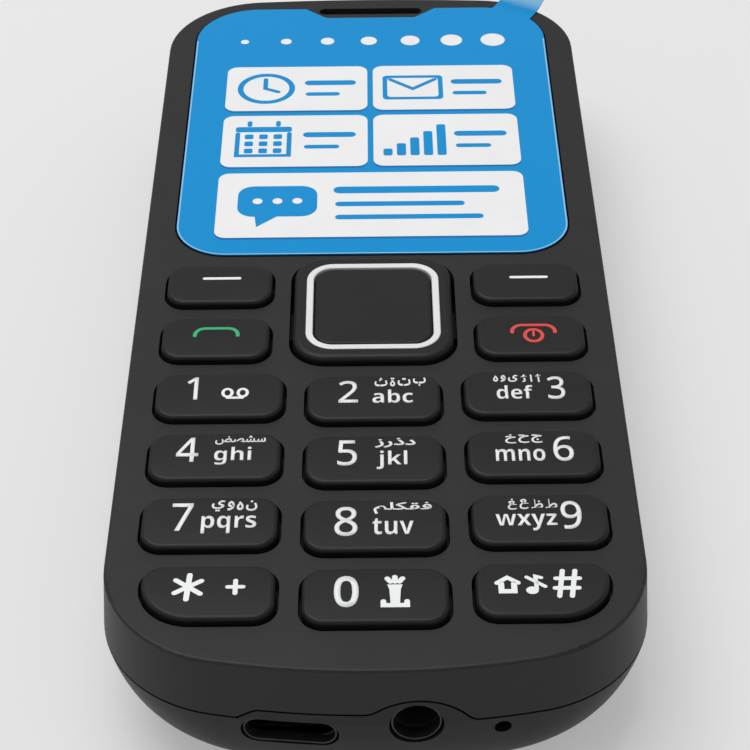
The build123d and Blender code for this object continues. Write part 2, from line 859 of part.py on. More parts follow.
# Rubber web of the keypad, on feet between the columns
nav_web_margin = nav_tab_length + nav_web_clearance
web_high = nav_y + nav_height / 2 + nav_web_margin + web_foot_radius
foot_rows = [(low + high) / 2 for low, high in zip(rows[1:3], rows[2:4])]
with BuildPart() as keypad_web:
    with BuildSketch(Plane.XY.offset(web_bottom)):
        add(body_outline(web_inset, web_inset))
        with Locations((0, web_high)):
            Rectangle(body_width, body_length, align=(Align.CENTER, Align.MIN), mode=Mode.SUBTRACT)
        with Locations(*[(key.nub_x, key.y) for key in keys]):
            Circle(nub_radius + sheet_clearance, mode=Mode.SUBTRACT)
        with Locations((0, nav_y)):
            Rectangle(
                nav_width + 2 * nav_web_margin,
                nav_height + 2 * nav_web_margin,
                mode=Mode.SUBTRACT,
            )
        with Locations(*end_bosses):
            Circle(end_boss_radius + sheet_clearance, mode=Mode.SUBTRACT)
    extrude(amount=web_thickness)
    with BuildSketch(Plane.XY.offset(sheet_top)):
        with Locations(*[(side * lane_x, row) for side in (-1, 1) for row in foot_rows]):
            Circle(web_foot_radius)
    extrude(amount=web_bottom - sheet_top)
save(keypad_web, "keypad_web")

# Contact domes, the sheet that holds them and the lamps that light the keys
dome_curve = (dome_radius ** 2 + dome_height ** 2) / (2 * dome_height)
with BuildPart() as dome:
    with BuildSketch(Plane.XZ):
        with Locations((0, board_top + dome_height - dome_curve)):
            Circle(dome_curve)
            Circle(dome_curve - dome_wall, mode=Mode.SUBTRACT)
        with Locations((0, board_top)):
            Rectangle(dome_radius, dome_height, align=(Align.MIN, Align.MIN), mode=Mode.INTERSECT)
    revolve(axis=Axis.Z)

with BuildPart() as key_domes:
    with Locations(*domes):
        add(dome.part)
save(key_domes, "key_domes")

jack_front = end_wall(jack_offset + jack_width / 2, cover_wall) + port_clearance
jack_end = jack_front + jack_length
with BuildSketch() as jack_notch:
    with Locations((jack_offset, jack_end + board_clearance)):
        Rectangle(jack_width + 2 * board_clearance, 2 * jack_length, align=(Align.CENTER, Align.MAX))

sheet_high = nav_y + nav_nub_y + dome_radius + web_foot_radius
with BuildPart() as dome_sheet:
    with BuildSketch(Plane.XY.offset(board_top)):
        add(body_outline(web_inset + board_clearance, web_inset + board_clearance))
        with Locations((0, sheet_high)):
            Rectangle(body_width, body_length, align=(Align.CENTER, Align.MIN), mode=Mode.SUBTRACT)
        with Locations(*domes):
            Circle(dome_radius + dome_clearance, mode=Mode.SUBTRACT)
        with Locations(*leds):
            Rectangle(led_length + sheet_clearance, led_width + sheet_clearance, mode=Mode.SUBTRACT)
        with Locations(*end_bosses):
            Circle(end_boss_radius + sheet_clearance, mode=Mode.SUBTRACT)
        add(jack_notch.sketch, mode=Mode.SUBTRACT)
    extrude(amount=sheet_thickness)
save(dome_sheet, "dome_sheet")

with BuildPart() as keypad_leds:
    with BuildSketch(Plane.XY.offset(board_top)):
        with Locations(*leds):
            Rectangle(led_length, led_width)
    extrude(amount=led_height)
save(keypad_leds, "keypad_leds")

# Torch at the top end: the lens stands in a collar of the chassis, the lamp behind it under the board
lens_front = body_length / 2 - cover_wall - torch_setback
lens_back = lens_front - torch_length
collar_radius = torch_radius + torch_clearance + torch_collar
led_front = lens_back - led_gap
with BuildPart() as torch_lens:
    with BuildSketch(Plane.XZ.offset(-lens_back)):
        with Locations((0, torch_z)):
            Circle(torch_radius)
    extrude(amount=-torch_length)
    fillet(torch_lens.faces().sort_by(Axis.Y)[-1].edges(), torch_dome)
save(torch_lens, "torch_lens")

with BuildPart() as torch_led:
    with BuildSketch(Plane.XY.offset(board_bottom)):
        with Locations((0, led_front)):
            Rectangle(led_body_width, led_body_length, align=(Align.CENTER, Align.MAX))
    extrude(amount=-led_body_height)
    chamfer(torch_led.edges().filter_by(Axis.Z), led_gap)
save(torch_led, "torch_led")

# Main board, with a notch for the jack, a notch for the torch and holes for the screws
with BuildPart() as main_board:
    with BuildSketch(Plane.XY.offset(board_bottom)):
        add(body_outline(web_inset, web_inset))
        add(jack_notch.sketch, mode=Mode.SUBTRACT)
        with Locations((0, led_front)):
            Rectangle(
                2 * (collar_radius + torch_notch_margin),
                body_length / 2,
                align=(Align.CENTER, Align.MIN),
                mode=Mode.SUBTRACT,
            )
        with Locations(*side_bosses, *end_bosses):
            Circle(screw_radius + screw_clearance, mode=Mode.SUBTRACT)
    extrude(amount=board_thickness)
save(main_board, "main_board")

# Under the board: two shield cans with a chip in each
can_y = face_end - can_end_space - can_length / 2
can_width = chassis_half_width - can_gap / 2 - can_side_space
can_names = ("shield_can_left", "shield_can_right")
chip_names = ("processor_chip", "radio_chip")
for side, can_name, chip_name in zip((-1, 1), can_names, chip_names):
    can_x = side * (can_gap + can_width) / 2
    with BuildPart() as shield_can:
        with BuildSketch(Plane.XY.offset(board_bottom)):
            with Locations((can_x, can_y)):
                Rectangle(can_width, can_length)
        extrude(amount=-can_height)
        fillet(shield_can.edges().filter_by(Axis.Z), can_wall * 2)
        with BuildSketch(Plane.XY.offset(board_bottom)):
            with Locations((can_x, can_y)):
                Rectangle(can_width - 2 * can_wall, can_length - 2 * can_wall)
        extrude(amount=can_wall - can_height, mode=Mode.SUBTRACT)
    save(shield_can, can_name)
    with BuildPart() as chip:
        with BuildSketch(Plane.XY.offset(board_bottom)):
            with Locations((can_x, can_y)):
                Rectangle(can_width * chip_share, can_width * chip_share)
        extrude(amount=-chip_thickness)
        chamfer(chip.edges().filter_by(Axis.Z), can_wall)
    save(chip, chip_name)

# Sockets for the cards, reached from the battery bay
card_y = battery_high_y - card_socket_end_space - card_socket_length / 2
sim_y = card_y - card_socket_length / 2 - socket_gap - sim_length / 2
sim_width = chassis_half_width - sim_gap / 2 - sim_side_space
for side, name in ((-1, "sim_socket_left"), (1, "sim_socket_right")):
    sim_x = side * (sim_gap + sim_width) / 2
    with BuildPart() as sim_socket:
        with BuildSketch(Plane.XY.offset(board_bottom)):
            with Locations((sim_x, sim_y)):
                Rectangle(sim_width, sim_length)
        extrude(amount=-sim_height)
        with BuildSketch(Plane.XY.offset(board_bottom - sim_height)):
            with Locations((sim_x, sim_y + sim_card_inset)):
                Rectangle(sim_width - 2 * sim_card_inset, sim_length)
        extrude(amount=sim_slot_height, mode=Mode.SUBTRACT)
    save(sim_socket, name)

with BuildPart() as memory_card_socket:
    with BuildSketch(Plane.XY.offset(board_bottom)):
        with Locations((0, card_y)):
            Rectangle(card_socket_width, card_socket_length)
    extrude(amount=-sim_height)
    with BuildSketch(Plane.XY.offset(board_bottom - sim_height)):
        with Locations((0, card_y + sim_card_inset)):
            Rectangle(card_socket_width - 2 * sim_card_inset, card_socket_length)
    extrude(amount=sim_slot_height, mode=Mode.SUBTRACT)
save(memory_card_socket, "memory_card_socket")

# Data and charging socket: a folded steel shell with a contact blade
usb_front = end_wall(abs(usb_offset) + usb_width / 2, cover_wall) + port_clearance
with BuildPart() as usb_connector:
    with BuildSketch(Plane.XZ.offset(-usb_front)):
        with Locations((usb_offset, usb_z)):
            Rectangle(usb_width, usb_height)
    extrude(amount=-usb_length)
    chamfer(usb_connector.edges().filter_by(Axis.Y).group_by(Axis.Z)[0], usb_chamfer)
    with BuildSketch(Plane.XZ.offset(-usb_front)) as usb_mouth:
        with Locations((usb_offset, usb_z)):
            Rectangle(usb_width - 2 * usb_wall, usb_height - 2 * usb_wall)
        chamfer(usb_mouth.vertices().group_by(Axis.Z)[0], usb_chamfer)
    extrude(amount=-usb_mouth_depth, mode=Mode.SUBTRACT)
    with BuildSketch(Plane.XZ.offset(-usb_front - usb_wall)):
        with Locations((usb_offset, usb_z + usb_blade_thickness / 2)):
            Rectangle(usb_blade_width, usb_blade_thickness)
    extrude(amount=usb_wall - usb_length)
save(usb_connector, "usb_connector")

# Headphone jack: a round nose behind its hole and a square body in the board's notch
with BuildPart() as audio_jack:
    with BuildSketch(Plane.XZ.offset(-jack_front)):
        with Locations((jack_offset, jack_height_z)):
            Circle(jack_nose_radius)
    extrude(amount=-jack_nose_length)
    with BuildSketch(Plane.XZ.offset(-jack_front - jack_nose_length)):
        with Locations((jack_offset, jack_height_z)):
            Rectangle(jack_width, jack_height)
    extrude(amount=jack_nose_length - jack_length)
    with BuildSketch(Plane.XZ.offset(-jack_front)):
        with Locations((jack_offset, jack_height_z)):
            Circle(jack_bore_radius)
    extrude(amount=-jack_bore_length, mode=Mode.SUBTRACT)
save(audio_jack, "audio_jack")

# Microphone in its rubber boot, whose snout points at the hole in the end wall
boot_front = end_wall(mic_offset + mic_width / 2 + boot_wall, cover_wall) + port_clearance
mic_front = boot_front + boot_snout
with BuildPart() as microphone:
    with BuildSketch(Plane.XY.offset(board_bottom)):
        with Locations((mic_offset, mic_front)):
            Rectangle(mic_width, mic_length, align=(Align.CENTER, Align.MIN))
    extrude(amount=-mic_height)
save(microphone, "microphone")

with BuildPart() as microphone_boot:
    with BuildSketch(Plane.XY.offset(board_bottom)):
        with Locations((mic_offset, boot_front)):
            Rectangle(
                mic_width + 2 * boot_wall,
                boot_snout + mic_length + boot_wall,
                align=(Align.CENTER, Align.MIN),
            )
    extrude(amount=-mic_height - 2 * boot_wall)
    with BuildSketch(Plane.XZ.offset(-boot_front)):
        with Locations((mic_offset, face_height - mic_drop)):
            Circle(mic_hole_radius - sheet_thickness)
    extrude(amount=-boot_snout - mic_length / 2, mode=Mode.SUBTRACT)
    add(microphone.part, mode=Mode.SUBTRACT)
save(microphone_boot, "microphone_boot")

# Battery, and the spring contacts at its upper end
contact_low_y = battery_high_y + contact_gap
with BuildPart() as battery:
    with BuildSketch(Plane.XY.offset(battery_top)):
        with Locations((0, battery_low_y)):
            Rectangle(battery_width, battery_length, align=(Align.CENTER, Align.MIN))
    extrude(amount=-battery_thickness)
    fillet(battery.edges().filter_by(Axis.Y), battery_edge_radius)
save(battery, "battery")

with BuildPart() as battery_connector:
    with BuildSketch(Plane.XY.offset(board_bottom)):
        with Locations((0, contact_low_y)):
            Rectangle(contact_width, contact_length, align=(Align.CENTER, Align.MIN))
    extrude(amount=-contact_depth)
    with BuildSketch(Plane.XZ.offset(-contact_low_y)):
        with Locations((0, battery_top - blade_height / 2 - battery_edge_radius / 2)):
            with GridLocations(blade_spacing, 0, blade_count, 1):
                Rectangle(blade_width, blade_height)
    extrude(amount=blade_reach)
save(battery_connector, "battery_connector")

# Loudspeaker over the grille, with a ring of foam
speaker_low = chassis_bottom - speaker_height
with BuildPart() as loudspeaker:
    with BuildSketch(Plane.XY.offset(chassis_bottom)):
        with Locations((0, speaker_y)):
            Circle(speaker_radius - speaker_lip)
    extrude(amount=-speaker_height)
    with BuildSketch(Plane.XY.offset(speaker_low)):
        with Locations((0, speaker_y)):
            Circle(speaker_radius)
    extrude(amount=speaker_lip_height)
    with BuildSketch(Plane.XY.offset(speaker_low)):
        with Locations((0, speaker_y)):
            Circle(speaker_radius - speaker_cone_inset)
    extrude(amount=speaker_cone_depth, mode=Mode.SUBTRACT)
    with BuildSketch(Plane.XY.offset(speaker_low + speaker_cone_depth)):
        with Locations((0, speaker_y)):
            Circle((speaker_radius - speaker_cone_inset) / 2)
    extrude(amount=-speaker_cone_depth / 2)
save(loudspeaker, "loudspeaker")

gasket_low = cover_wall + speaker_gasket_clearance
with BuildPart() as speaker_gasket:
    with BuildSketch(Plane.XY.offset(gasket_low)):
        with Locations((0, speaker_y)):
            Circle(speaker_radius)
            Circle(speaker_radius - speaker_gasket_width, mode=Mode.SUBTRACT)
    extrude(amount=speaker_low - gasket_low)
save(speaker_gasket, "speaker_gasket")

# Vibration motor, and the off-centre weight that its shaft turns
motor_z = chassis_bottom - motor_clearance - motor_radius
motor_offset = body_width / 2 - motor_side_space
motor_high_y = face_end - motor_end_space
motor_low_y = motor_high_y - motor_length
bearing_depth = motor_shaft_length - weight_gap
with BuildPart() as vibration_motor:
    with BuildSketch(Plane.XZ.offset(-motor_low_y)):
        with Locations((motor_offset, motor_z)):
            Circle(motor_radius)
    extrude(amount=-motor_length)
    fillet(vibration_motor.edges().filter_by(GeomType.CIRCLE), motor_clearance)
    with BuildSketch(Plane.XZ.offset(-motor_high_y)):
        with Locations((motor_offset, motor_z)):
            Circle(motor_shaft_radius + weight_bore_clearance)
    extrude(amount=motor_shaft_length, mode=Mode.SUBTRACT)
save(vibration_motor, "vibration_motor")

with BuildPart() as vibration_weight:
    with BuildSketch(Plane.XZ.offset(-motor_high_y - weight_gap)):
        with Locations((motor_offset, motor_z)):
            Circle(weight_radius)
        with Locations((motor_offset, motor_z + motor_shaft_radius)):
            Rectangle(
                2 * weight_radius,
                2 * weight_radius,
                align=(Align.CENTER, Align.MIN),
                mode=Mode.SUBTRACT,
            )
    extrude(amount=-weight_length)
    with BuildSketch(Plane.XZ.offset(-motor_high_y - weight_gap - weight_length)):
        with Locations((motor_offset, motor_z)):
            Circle(motor_shaft_radius)
    extrude(amount=weight_gap + weight_length + bearing_depth)
save(vibration_weight, "vibration_weight")

# Antenna plate on the underside of the chassis
antenna_y = face_low + antenna_start + antenna_length / 2
antenna_width = body_width - 2 * antenna_side_space
with BuildPart() as antenna:
    with BuildSketch(Plane.XY.offset(chassis_bottom - antenna_gap)):
        with Locations((0, antenna_y)):
            Rectangle(antenna_width, antenna_length)
        with Locations((0, antenna_y + antenna_slit_width)):
            with GridLocations(antenna_width / (antenna_slit_count + 1), 0, antenna_slit_count, 1):
                Rectangle(antenna_slit_width, antenna_length, mode=Mode.SUBTRACT)
    extrude(amount=-antenna_thickness)
save(antenna, "antenna")

# Rear chassis: floor, rim under the board, battery bay, torch collar and screw posts
post_radius = screw_head_radius + screw_clearance + post_wall
head_low = chassis_bottom + screw_recess
bay_width = battery_width + 2 * bay_clearance
bay_low_y = battery_low_y - bay_clearance
bay_high_y = battery_high_y + bay_clearance
with BuildPart() as rear_chassis:
    with BuildSketch(Plane.XY.offset(chassis_bottom)):
        add(body_outline(chassis_inset, chassis_inset))
        with Locations((0, face_low + port_bay_length)):
            Rectangle(body_width, body_length, align=(Align.CENTER, Align.MAX), mode=Mode.SUBTRACT)
    extrude(amount=board_bottom - chassis_bottom)
    with BuildSketch(Plane.XY.offset(chassis_top)):
        add(body_outline(chassis_inset + chassis_rim, chassis_inset + chassis_rim))
    extrude(amount=component_space, mode=Mode.SUBTRACT)
    with BuildSketch(Plane.XY.offset(chassis_bottom)):
        with Locations((0, (bay_low_y + bay_high_y) / 2)):
            Rectangle(bay_width + 2 * bay_wall, bay_high_y - bay_low_y + 2 * bay_wall)
            Rectangle(bay_width, bay_high_y - bay_low_y, mode=Mode.SUBTRACT)
        with Locations((0, bay_high_y)):
            Rectangle(contact_width + 2 * bay_clearance, 2 * contact_length, mode=Mode.SUBTRACT)
    extrude(amount=-bay_depth)
    with BuildSketch(Plane.XY.offset(chassis_bottom)):
        with Locations(*side_bosses):
            Circle(post_radius)
    extrude(amount=board_bottom - chassis_bottom)
    with BuildSketch(Plane.XZ.offset(-lens_back)):
        with Locations((0, torch_z)):
            Circle(collar_radius)
    extrude(amount=-torch_collar_length)
    with BuildSketch(Plane.XZ.offset(-lens_back)):
        with Locations((0, torch_z)):
            Circle(torch_radius + torch_clearance)
    extrude(amount=-torch_length, mode=Mode.SUBTRACT)
    with BuildSketch(Plane.XY.offset(chassis_bottom)):
        with Locations((0, lens_back)):
            Rectangle(
                led_body_width + 2 * bay_clearance,
                led_gap + led_body_length + bay_clearance,
                align=(Align.CENTER, Align.MAX),
            )
        with Locations((0, contact_low_y)):
            Rectangle(
                contact_width + 2 * bay_clearance,
                2 * (contact_length + bay_clearance),
            )
        with Locations((0, sim_y)):
            Rectangle(sim_gap + 2 * sim_width + card_window_margin, sim_length + card_window_margin)
        with Locations((0, card_y)):
            Rectangle(card_socket_width + card_window_margin, card_socket_length + card_window_margin)
    extrude(amount=chassis_floor, mode=Mode.SUBTRACT)
    with BuildSketch(Plane.XY.offset(chassis_bottom)):
        with Locations(*side_bosses):
            Circle(screw_radius + screw_clearance)
    extrude(amount=board_bottom - chassis_bottom, mode=Mode.SUBTRACT)
    with BuildSketch(Plane.XY.offset(chassis_bottom)):
        with Locations(*side_bosses):
            Circle(screw_head_radius + screw_clearance)
    extrude(amount=screw_recess + screw_head_height, mode=Mode.SUBTRACT)
save(rear_chassis, "rear_chassis")

# Screws: four through the chassis, two shorter ones that hold the board at the bottom end
with BuildPart() as case_screws:
    for places, head_z in ((side_bosses, head_low), (end_bosses, board_bottom - screw_head_height)):
        with BuildSketch(Plane.XY.offset(head_z)):
            with Locations(*places):
                Circle(screw_head_radius)
                Rectangle(screw_slot_width, 2 * screw_head_radius, mode=Mode.SUBTRACT)
        extrude(amount=screw_slot_depth)
        with BuildSketch(Plane.XY.offset(head_z + screw_slot_depth)):
            with Locations(*places):
                Circle(screw_head_radius)
        extrude(amount=screw_head_height - screw_slot_depth)
        with BuildSketch(Plane.XY.offset(head_z + screw_head_height)):
            with Locations(*places):
                Circle(screw_radius)
        extrude(amount=screw_tip - head_z - screw_head_height)
save(case_screws, "case_screws")
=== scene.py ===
import bpy
import math
from mathutils import Matrix, Vector


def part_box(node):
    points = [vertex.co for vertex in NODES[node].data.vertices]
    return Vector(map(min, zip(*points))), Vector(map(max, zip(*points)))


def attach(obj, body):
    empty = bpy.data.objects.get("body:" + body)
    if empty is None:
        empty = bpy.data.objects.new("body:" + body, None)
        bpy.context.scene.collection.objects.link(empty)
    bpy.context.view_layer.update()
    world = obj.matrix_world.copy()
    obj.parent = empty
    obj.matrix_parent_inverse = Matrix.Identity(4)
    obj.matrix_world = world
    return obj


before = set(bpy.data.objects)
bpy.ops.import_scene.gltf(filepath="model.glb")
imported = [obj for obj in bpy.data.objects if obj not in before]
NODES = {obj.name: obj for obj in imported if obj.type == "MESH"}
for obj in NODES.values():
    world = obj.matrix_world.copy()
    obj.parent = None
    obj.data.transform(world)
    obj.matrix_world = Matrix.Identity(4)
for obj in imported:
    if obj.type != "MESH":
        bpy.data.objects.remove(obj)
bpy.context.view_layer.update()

SLOT_OF = {node: NODES[node].data.materials[0].name for node in NODES}
MM = 0.001

bl_info = {
    "name": "Bar Phone Dressing",
    "version": (1, 0, 0),
    "blender": (4, 5, 0),
    "location": "View3D > Sidebar > Bar Phone",
    "description": "Gives the solids of a bar phone their finishes, printed legends, window film and studio",
    "category": "Object",
}


# Kinds of property

def colour(name, description, default):
    """A colour, in linear values"""
    return bpy.props.FloatVectorProperty(
        name=name, description=description, default=default, size=3, min=0, max=1, subtype="COLOR")


def length(name, description, default):
    """A length, given in millimetres"""
    return bpy.props.FloatProperty(
        name=name, description=description, default=default * MM, min=0, precision=5, unit="LENGTH")


def angle(name, description, degrees):
    """An angle, given in degrees"""
    return bpy.props.FloatProperty(
        name=name, description=description, default=math.radians(degrees), subtype="ANGLE", unit="ROTATION")


class PhoneColours(bpy.types.PropertyGroup):
    """Colours of the phone's finishes"""
    housing: colour("Housing", "Moulded plastic of the front shell", (0.014, 0.014, 0.0135))
    cover: colour("Cover", "Moulded plastic of the rear shell", (0.0105, 0.0105, 0.0101))
    keys: colour("Keys", "Moulded plastic of the keys", (0.0075, 0.0075, 0.0072))
    ring: colour("Ring", "Plastic of the ring round the select key", (0.76, 0.76, 0.745))
    legend: colour("Legend", "Ink of the key legends", (0.82, 0.84, 0.84))
    call: colour("Call", "Ink of the call symbol", (0.02, 0.42, 0.16))
    end: colour("End", "Ink of the end symbol", (0.7, 0.05, 0.05))
    film: colour("Film", "Ground colour of the window film", (0.0035, 0.26, 0.605))
    film_shade: colour("Film Shade", "Darker ink along the panels of the window film", (0.01, 0.14, 0.4))
    # Painted highlight: the pale colour of the line along the film's edge stands for the light caught on that
    # edge
    film_edge_highlight: colour("Film Edge", "Pale line along the film's cut edge", (0.22, 0.52, 0.8))
    rim: colour("Rim", "Plastic of the rims in the sockets' mouths", (0.016, 0.016, 0.0155))
    socket: colour("Socket", "Dark plating of the data socket", (0.09, 0.09, 0.09))
    panel: colour("Panel", "White ink of the film's panels", (0.83, 0.83, 0.84))
    label: colour("Label", "Paper of the battery's label", (0.62, 0.63, 0.64))
    floor: colour("Floor", "Floor under the phone", (0.76, 0.76, 0.755))
    floor_shade: colour("Floor Shade", "Floor colour that takes the shadow", (0.46, 0.46, 0.457))
    world: colour("World", "Light of the room", (1.0, 1.0, 1.0))


class PhoneSizes(bpy.types.PropertyGroup):
    """Sizes of what is printed and fitted on the phone"""
    ink_height: length("Ink Height", "Height of the printed legends over the keys", 0.02)
    ink_step: length("Ink Step", "Spacing of the cuts that let the print follow a crowned key", 0.45)
    film_ink: length("Film Ink", "Height of the printing over the film", 0.012)
    panel_radius: length("Panel Radius", "Corner radius of the film's panels", 1.1)
    panel_shade: length("Panel Shade", "Width of the darker line under a panel", 0.28)
    rim_edge: length("Rim Edge", "Round of the edges of the sockets' rims", 0.05)
    contact_width: length("Contact Width", "Width of a contact in the data socket", 0.28)
    label_line: length("Label Line", "Thickness of the battery's label and of its ink", 0.02)
    lamp_height: length("Lamp Height", "Height of the main softbox over the floor", 700.0)
    lens: bpy.props.FloatProperty(
        name="Lens", description="Focal length of the camera in millimetres", default=107.448, min=1)
    pitch: angle("Pitch", "Angle of the camera below the horizon", 38.633)
    roll: angle("Roll", "Turn of the camera about its own axis", -0.551)


def colours():
    return bpy.context.scene.phone_colours


def sizes():
    return bpy.context.scene.phone_sizes


# Node building

NOISE_ROUGHNESS = 0.6
MOTTLE_STOPS = (0.3, 0.7)


def tinted(tint, factor):
    """A tint made lighter or darker"""
    return tuple(min(1.0, channel * factor) for channel in tint)


class Finish:
    """A material in the making: its tree, its shader and the object's own coordinates"""

    def __init__(self, name):
        self.material = bpy.data.materials.new(name)
        self.material.use_nodes = True
        self.tree = self.material.node_tree
        self.tree.nodes.clear()
        output = self.tree.nodes.new("ShaderNodeOutputMaterial")
        self.shader = self.tree.nodes.new("ShaderNodeBsdfPrincipled")
        self.tree.links.new(self.shader.outputs["BSDF"], output.inputs["Surface"])
        self.place = self.tree.nodes.new("ShaderNodeTexCoord").outputs["Object"]

    def node(self, kind, links=None, values=None, **settings):
        """A node with its settings, the values of its sockets and the links into them"""
        made = self.tree.nodes.new("ShaderNode" + kind)
        for name, value in settings.items():
            setattr(made, name, value)
        for socket, value in (values or {}).items():
            made.inputs[socket].default_value = value
        for socket, source in (links or {}).items():
            self.tree.links.new(source, made.inputs[socket])
        return made

    def set(self, **values):
        """Constant values on the shader, with words joined by an underscore"""
        for name, value in values.items():
            self.shader.inputs[name.replace("_", " ")].default_value = value

    def link(self, socket, source):
        """A link into the shader"""
        self.tree.links.new(source, self.shader.inputs[socket])

    def noise(self, size, detail, stretch=(1, 1, 1)):
        """Noise whose grains are about the given size in metres"""
        mapped = self.node("Mapping", {"Vector": self.place}, {"Scale": stretch})
        return self.node("TexNoise", {"Vector": mapped.outputs["Vector"]},
                         {"Scale": 1 / size, "Detail": detail, "Roughness": NOISE_ROUGHNESS}).outputs["Fac"]

    def span(self, source, low, high):
        """A source from none to all, spread from low to high"""
        return self.node("MapRange", {"Value": source}, {"To Min": low, "To Max": high}).outputs["Result"]

    def ramp(self, source, *stops):
        """A colour for each place of a source"""
        made = self.node("ValToRGB", {"Fac": source})
        while len(made.color_ramp.elements) < len(stops):
            made.color_ramp.elements.new(1.0)
        for element, (place, tint) in zip(made.color_ramp.elements, stops):
            element.position = place
            element.color = (*tint, 1)
        return made.outputs["Color"]

    def mottle(self, source, tint, low, high):
        """A colour that wanders between a low and a high share of a tint"""
        shades = (tinted(tint, low), tinted(tint, high))
        self.link("Base Color", self.ramp(source, *zip(MOTTLE_STOPS, shades)))

    def gloss(self, source, low, high):
        """A roughness that wanders from low to high"""
        self.link("Roughness", self.span(source, low, high))

    def relief(self, source, depth):
        """A relief of the given depth in metres"""
        bump = self.node("Bump", {"Height": source}, {"Distance": depth, "Strength": 1.0})
        self.link("Normal", bump.outputs["Normal"])


# Finishes

def moulded(name, tint, roughness, grain=0.00022, depth=0.00001, mottle=0.12, **values):
    """Moulded plastic or ink: a fine grain, a slight mottle and an uneven gloss"""
    finish = Finish(name)
    cloud = finish.noise(size=0.006, detail=3.0)
    finish.mottle(cloud, tint, low=1 - mottle, high=1 + mottle)
    fine = finish.noise(size=grain, detail=2.0)
    finish.gloss(cloud, low=roughness - 0.05, high=roughness + 0.05)
    finish.relief(fine, depth)
    finish.set(**values)
    return finish.material


def metal(name, tint, roughness, stretch=(1, 12, 1)):
    """Rolled or plated metal with fine streaks along one way"""
    finish = Finish(name)
    streak = finish.noise(size=0.0004, detail=3.0, stretch=stretch)
    cloud = finish.noise(size=0.004, detail=2.0)
    finish.mottle(cloud, tint, low=0.88, high=1.0)
    finish.gloss(streak, low=roughness - 0.08, high=roughness + 0.1)
    finish.relief(streak, depth=0.000004)
    finish.set(Metallic=1.0)
    return finish.material


CELL_RELIEF = 0.2


def foam(name, tint, cell):
    """Closed-cell foam, rubber or tape with small cells"""
    finish = Finish(name)
    cells = finish.node("TexVoronoi", {"Vector": finish.place}, {"Scale": 1 / cell}).outputs["Distance"]
    cloud = finish.noise(size=0.003, detail=3.0)
    finish.mottle(cloud, tint, low=0.8, high=1.2)
    finish.gloss(cloud, low=0.7, high=0.9)
    finish.relief(cells, depth=cell * CELL_RELIEF)
    return finish.material


# A woven mesh: the scale of its waves for a thread, the places of its two shades and its relief
WAVE_SCALE = 0.31
WEAVE_STOPS = (0.2, 0.9)
WEAVE_SHADE = 0.25
WEAVE_RELIEF = 0.4


def woven(name, tint, thread):
    """Woven mesh: two sets of threads that cross"""
    finish = Finish(name)
    waves = []
    for way in ("X", "Y"):
        values = {"Scale": WAVE_SCALE / thread, "Distortion": 0.2}
        wave = finish.node("TexWave", {"Vector": finish.place}, values, wave_type="BANDS", bands_direction=way)
        waves.append(wave.outputs["Fac"])
    weave = finish.node("Math", {0: waves[0], 1: waves[1]}, operation="MAXIMUM").outputs["Value"]
    shades = (tinted(tint, WEAVE_SHADE), tint)
    finish.link("Base Color", finish.ramp(weave, *zip(WEAVE_STOPS, shades)))
    finish.gloss(weave, low=0.85, high=0.55)
    finish.relief(weave, depth=thread * WEAVE_RELIEF)
    return finish.material


def clear(name, tint, roughness, transmission, ior=1.49):
    """Clear or tinted plastic or glass, with faint haze"""
    finish = Finish(name)
    haze = finish.noise(size=0.002, detail=3.0)
    finish.mottle(haze, tint, low=0.94, high=1.0)
    finish.gloss(haze, low=roughness, high=roughness + 0.06)
    finish.set(Transmission_Weight=transmission, IOR=ior)
    return finish.material


TRACK_STOPS = (0.4, 0.6)


def laminate(name, ground, track, pitch):
    """Board or ribbon with copper tracks under its lacquer"""
    finish = Finish(name)
    rows = {"Scale": 1 / pitch, "Mortar Size": 0.09, "Brick Width": 2.6, "Row Height": 0.7}
    bend = finish.node("TexBrick", {"Vector": finish.place}, rows).outputs["Fac"]
    cloud = finish.noise(size=0.004, detail=3.0)
    finish.link("Base Color", finish.ramp(bend, *zip(TRACK_STOPS, (ground, track))))
    finish.gloss(cloud, low=0.28, high=0.42)
    finish.relief(bend, depth=0.00002)
    return finish.material


# The film's pull tab: its direction, where it starts along that, its reach, and how it turns pale
TAB_TURN = math.radians(58)
TAB_START = 0.0506
TAB_REACH = 0.0032
TAB_STOPS = (0.0, 0.35, 0.8)
TAB_PALE = (0.2, 0.48, 0.75)
TAB_CLEAR = 0.3

FILM_SPECULAR = 0.18


def film_print(name, tint):
    """Printed film: glossy blue that turns pale and see-through along its pull tab"""
    finish = Finish(name)
    way = (math.cos(TAB_TURN), math.sin(TAB_TURN), 0)
    along = finish.node("VectorMath", {0: finish.place}, {1: way}, operation="DOT_PRODUCT").outputs["Value"]
    pale = finish.node("MapRange", {"Value": along},
                       {"From Min": TAB_START, "From Max": TAB_START + TAB_REACH}).outputs["Result"]
    finish.link("Base Color", finish.ramp(pale, *zip(TAB_STOPS, (tint, tint, TAB_PALE))))
    wave = finish.noise(size=0.012, detail=2.0)
    finish.gloss(wave, low=0.26, high=0.36)
    finish.link("Transmission Weight", finish.span(pale, low=0.0, high=TAB_CLEAR))
    finish.relief(wave, depth=0.00002)
    finish.set(IOR=1.46, Specular_IOR_Level=FILM_SPECULAR)
    return finish.material


def pale_floor(name, tint, shade, glow):
    """A pale floor that keeps a soft shadow"""
    finish = Finish(name)
    rays = finish.node("LightPath").outputs
    seen = rays["Is Camera Ray"]
    for other in ("Is Glossy Ray", "Is Transmission Ray"):
        seen = finish.node("Math", {0: seen, 1: rays[other]}, operation="MAXIMUM").outputs["Value"]
    finish.link("Base Color", finish.ramp(seen, (0.0, tint), (1.0, shade)))
    finish.link("Emission Strength", finish.span(seen, low=0.0, high=glow))
    finish.set(Roughness=0.9, Specular_IOR_Level=0.2, Emission_Color=(1, 1, 1, 1))
    return finish.material


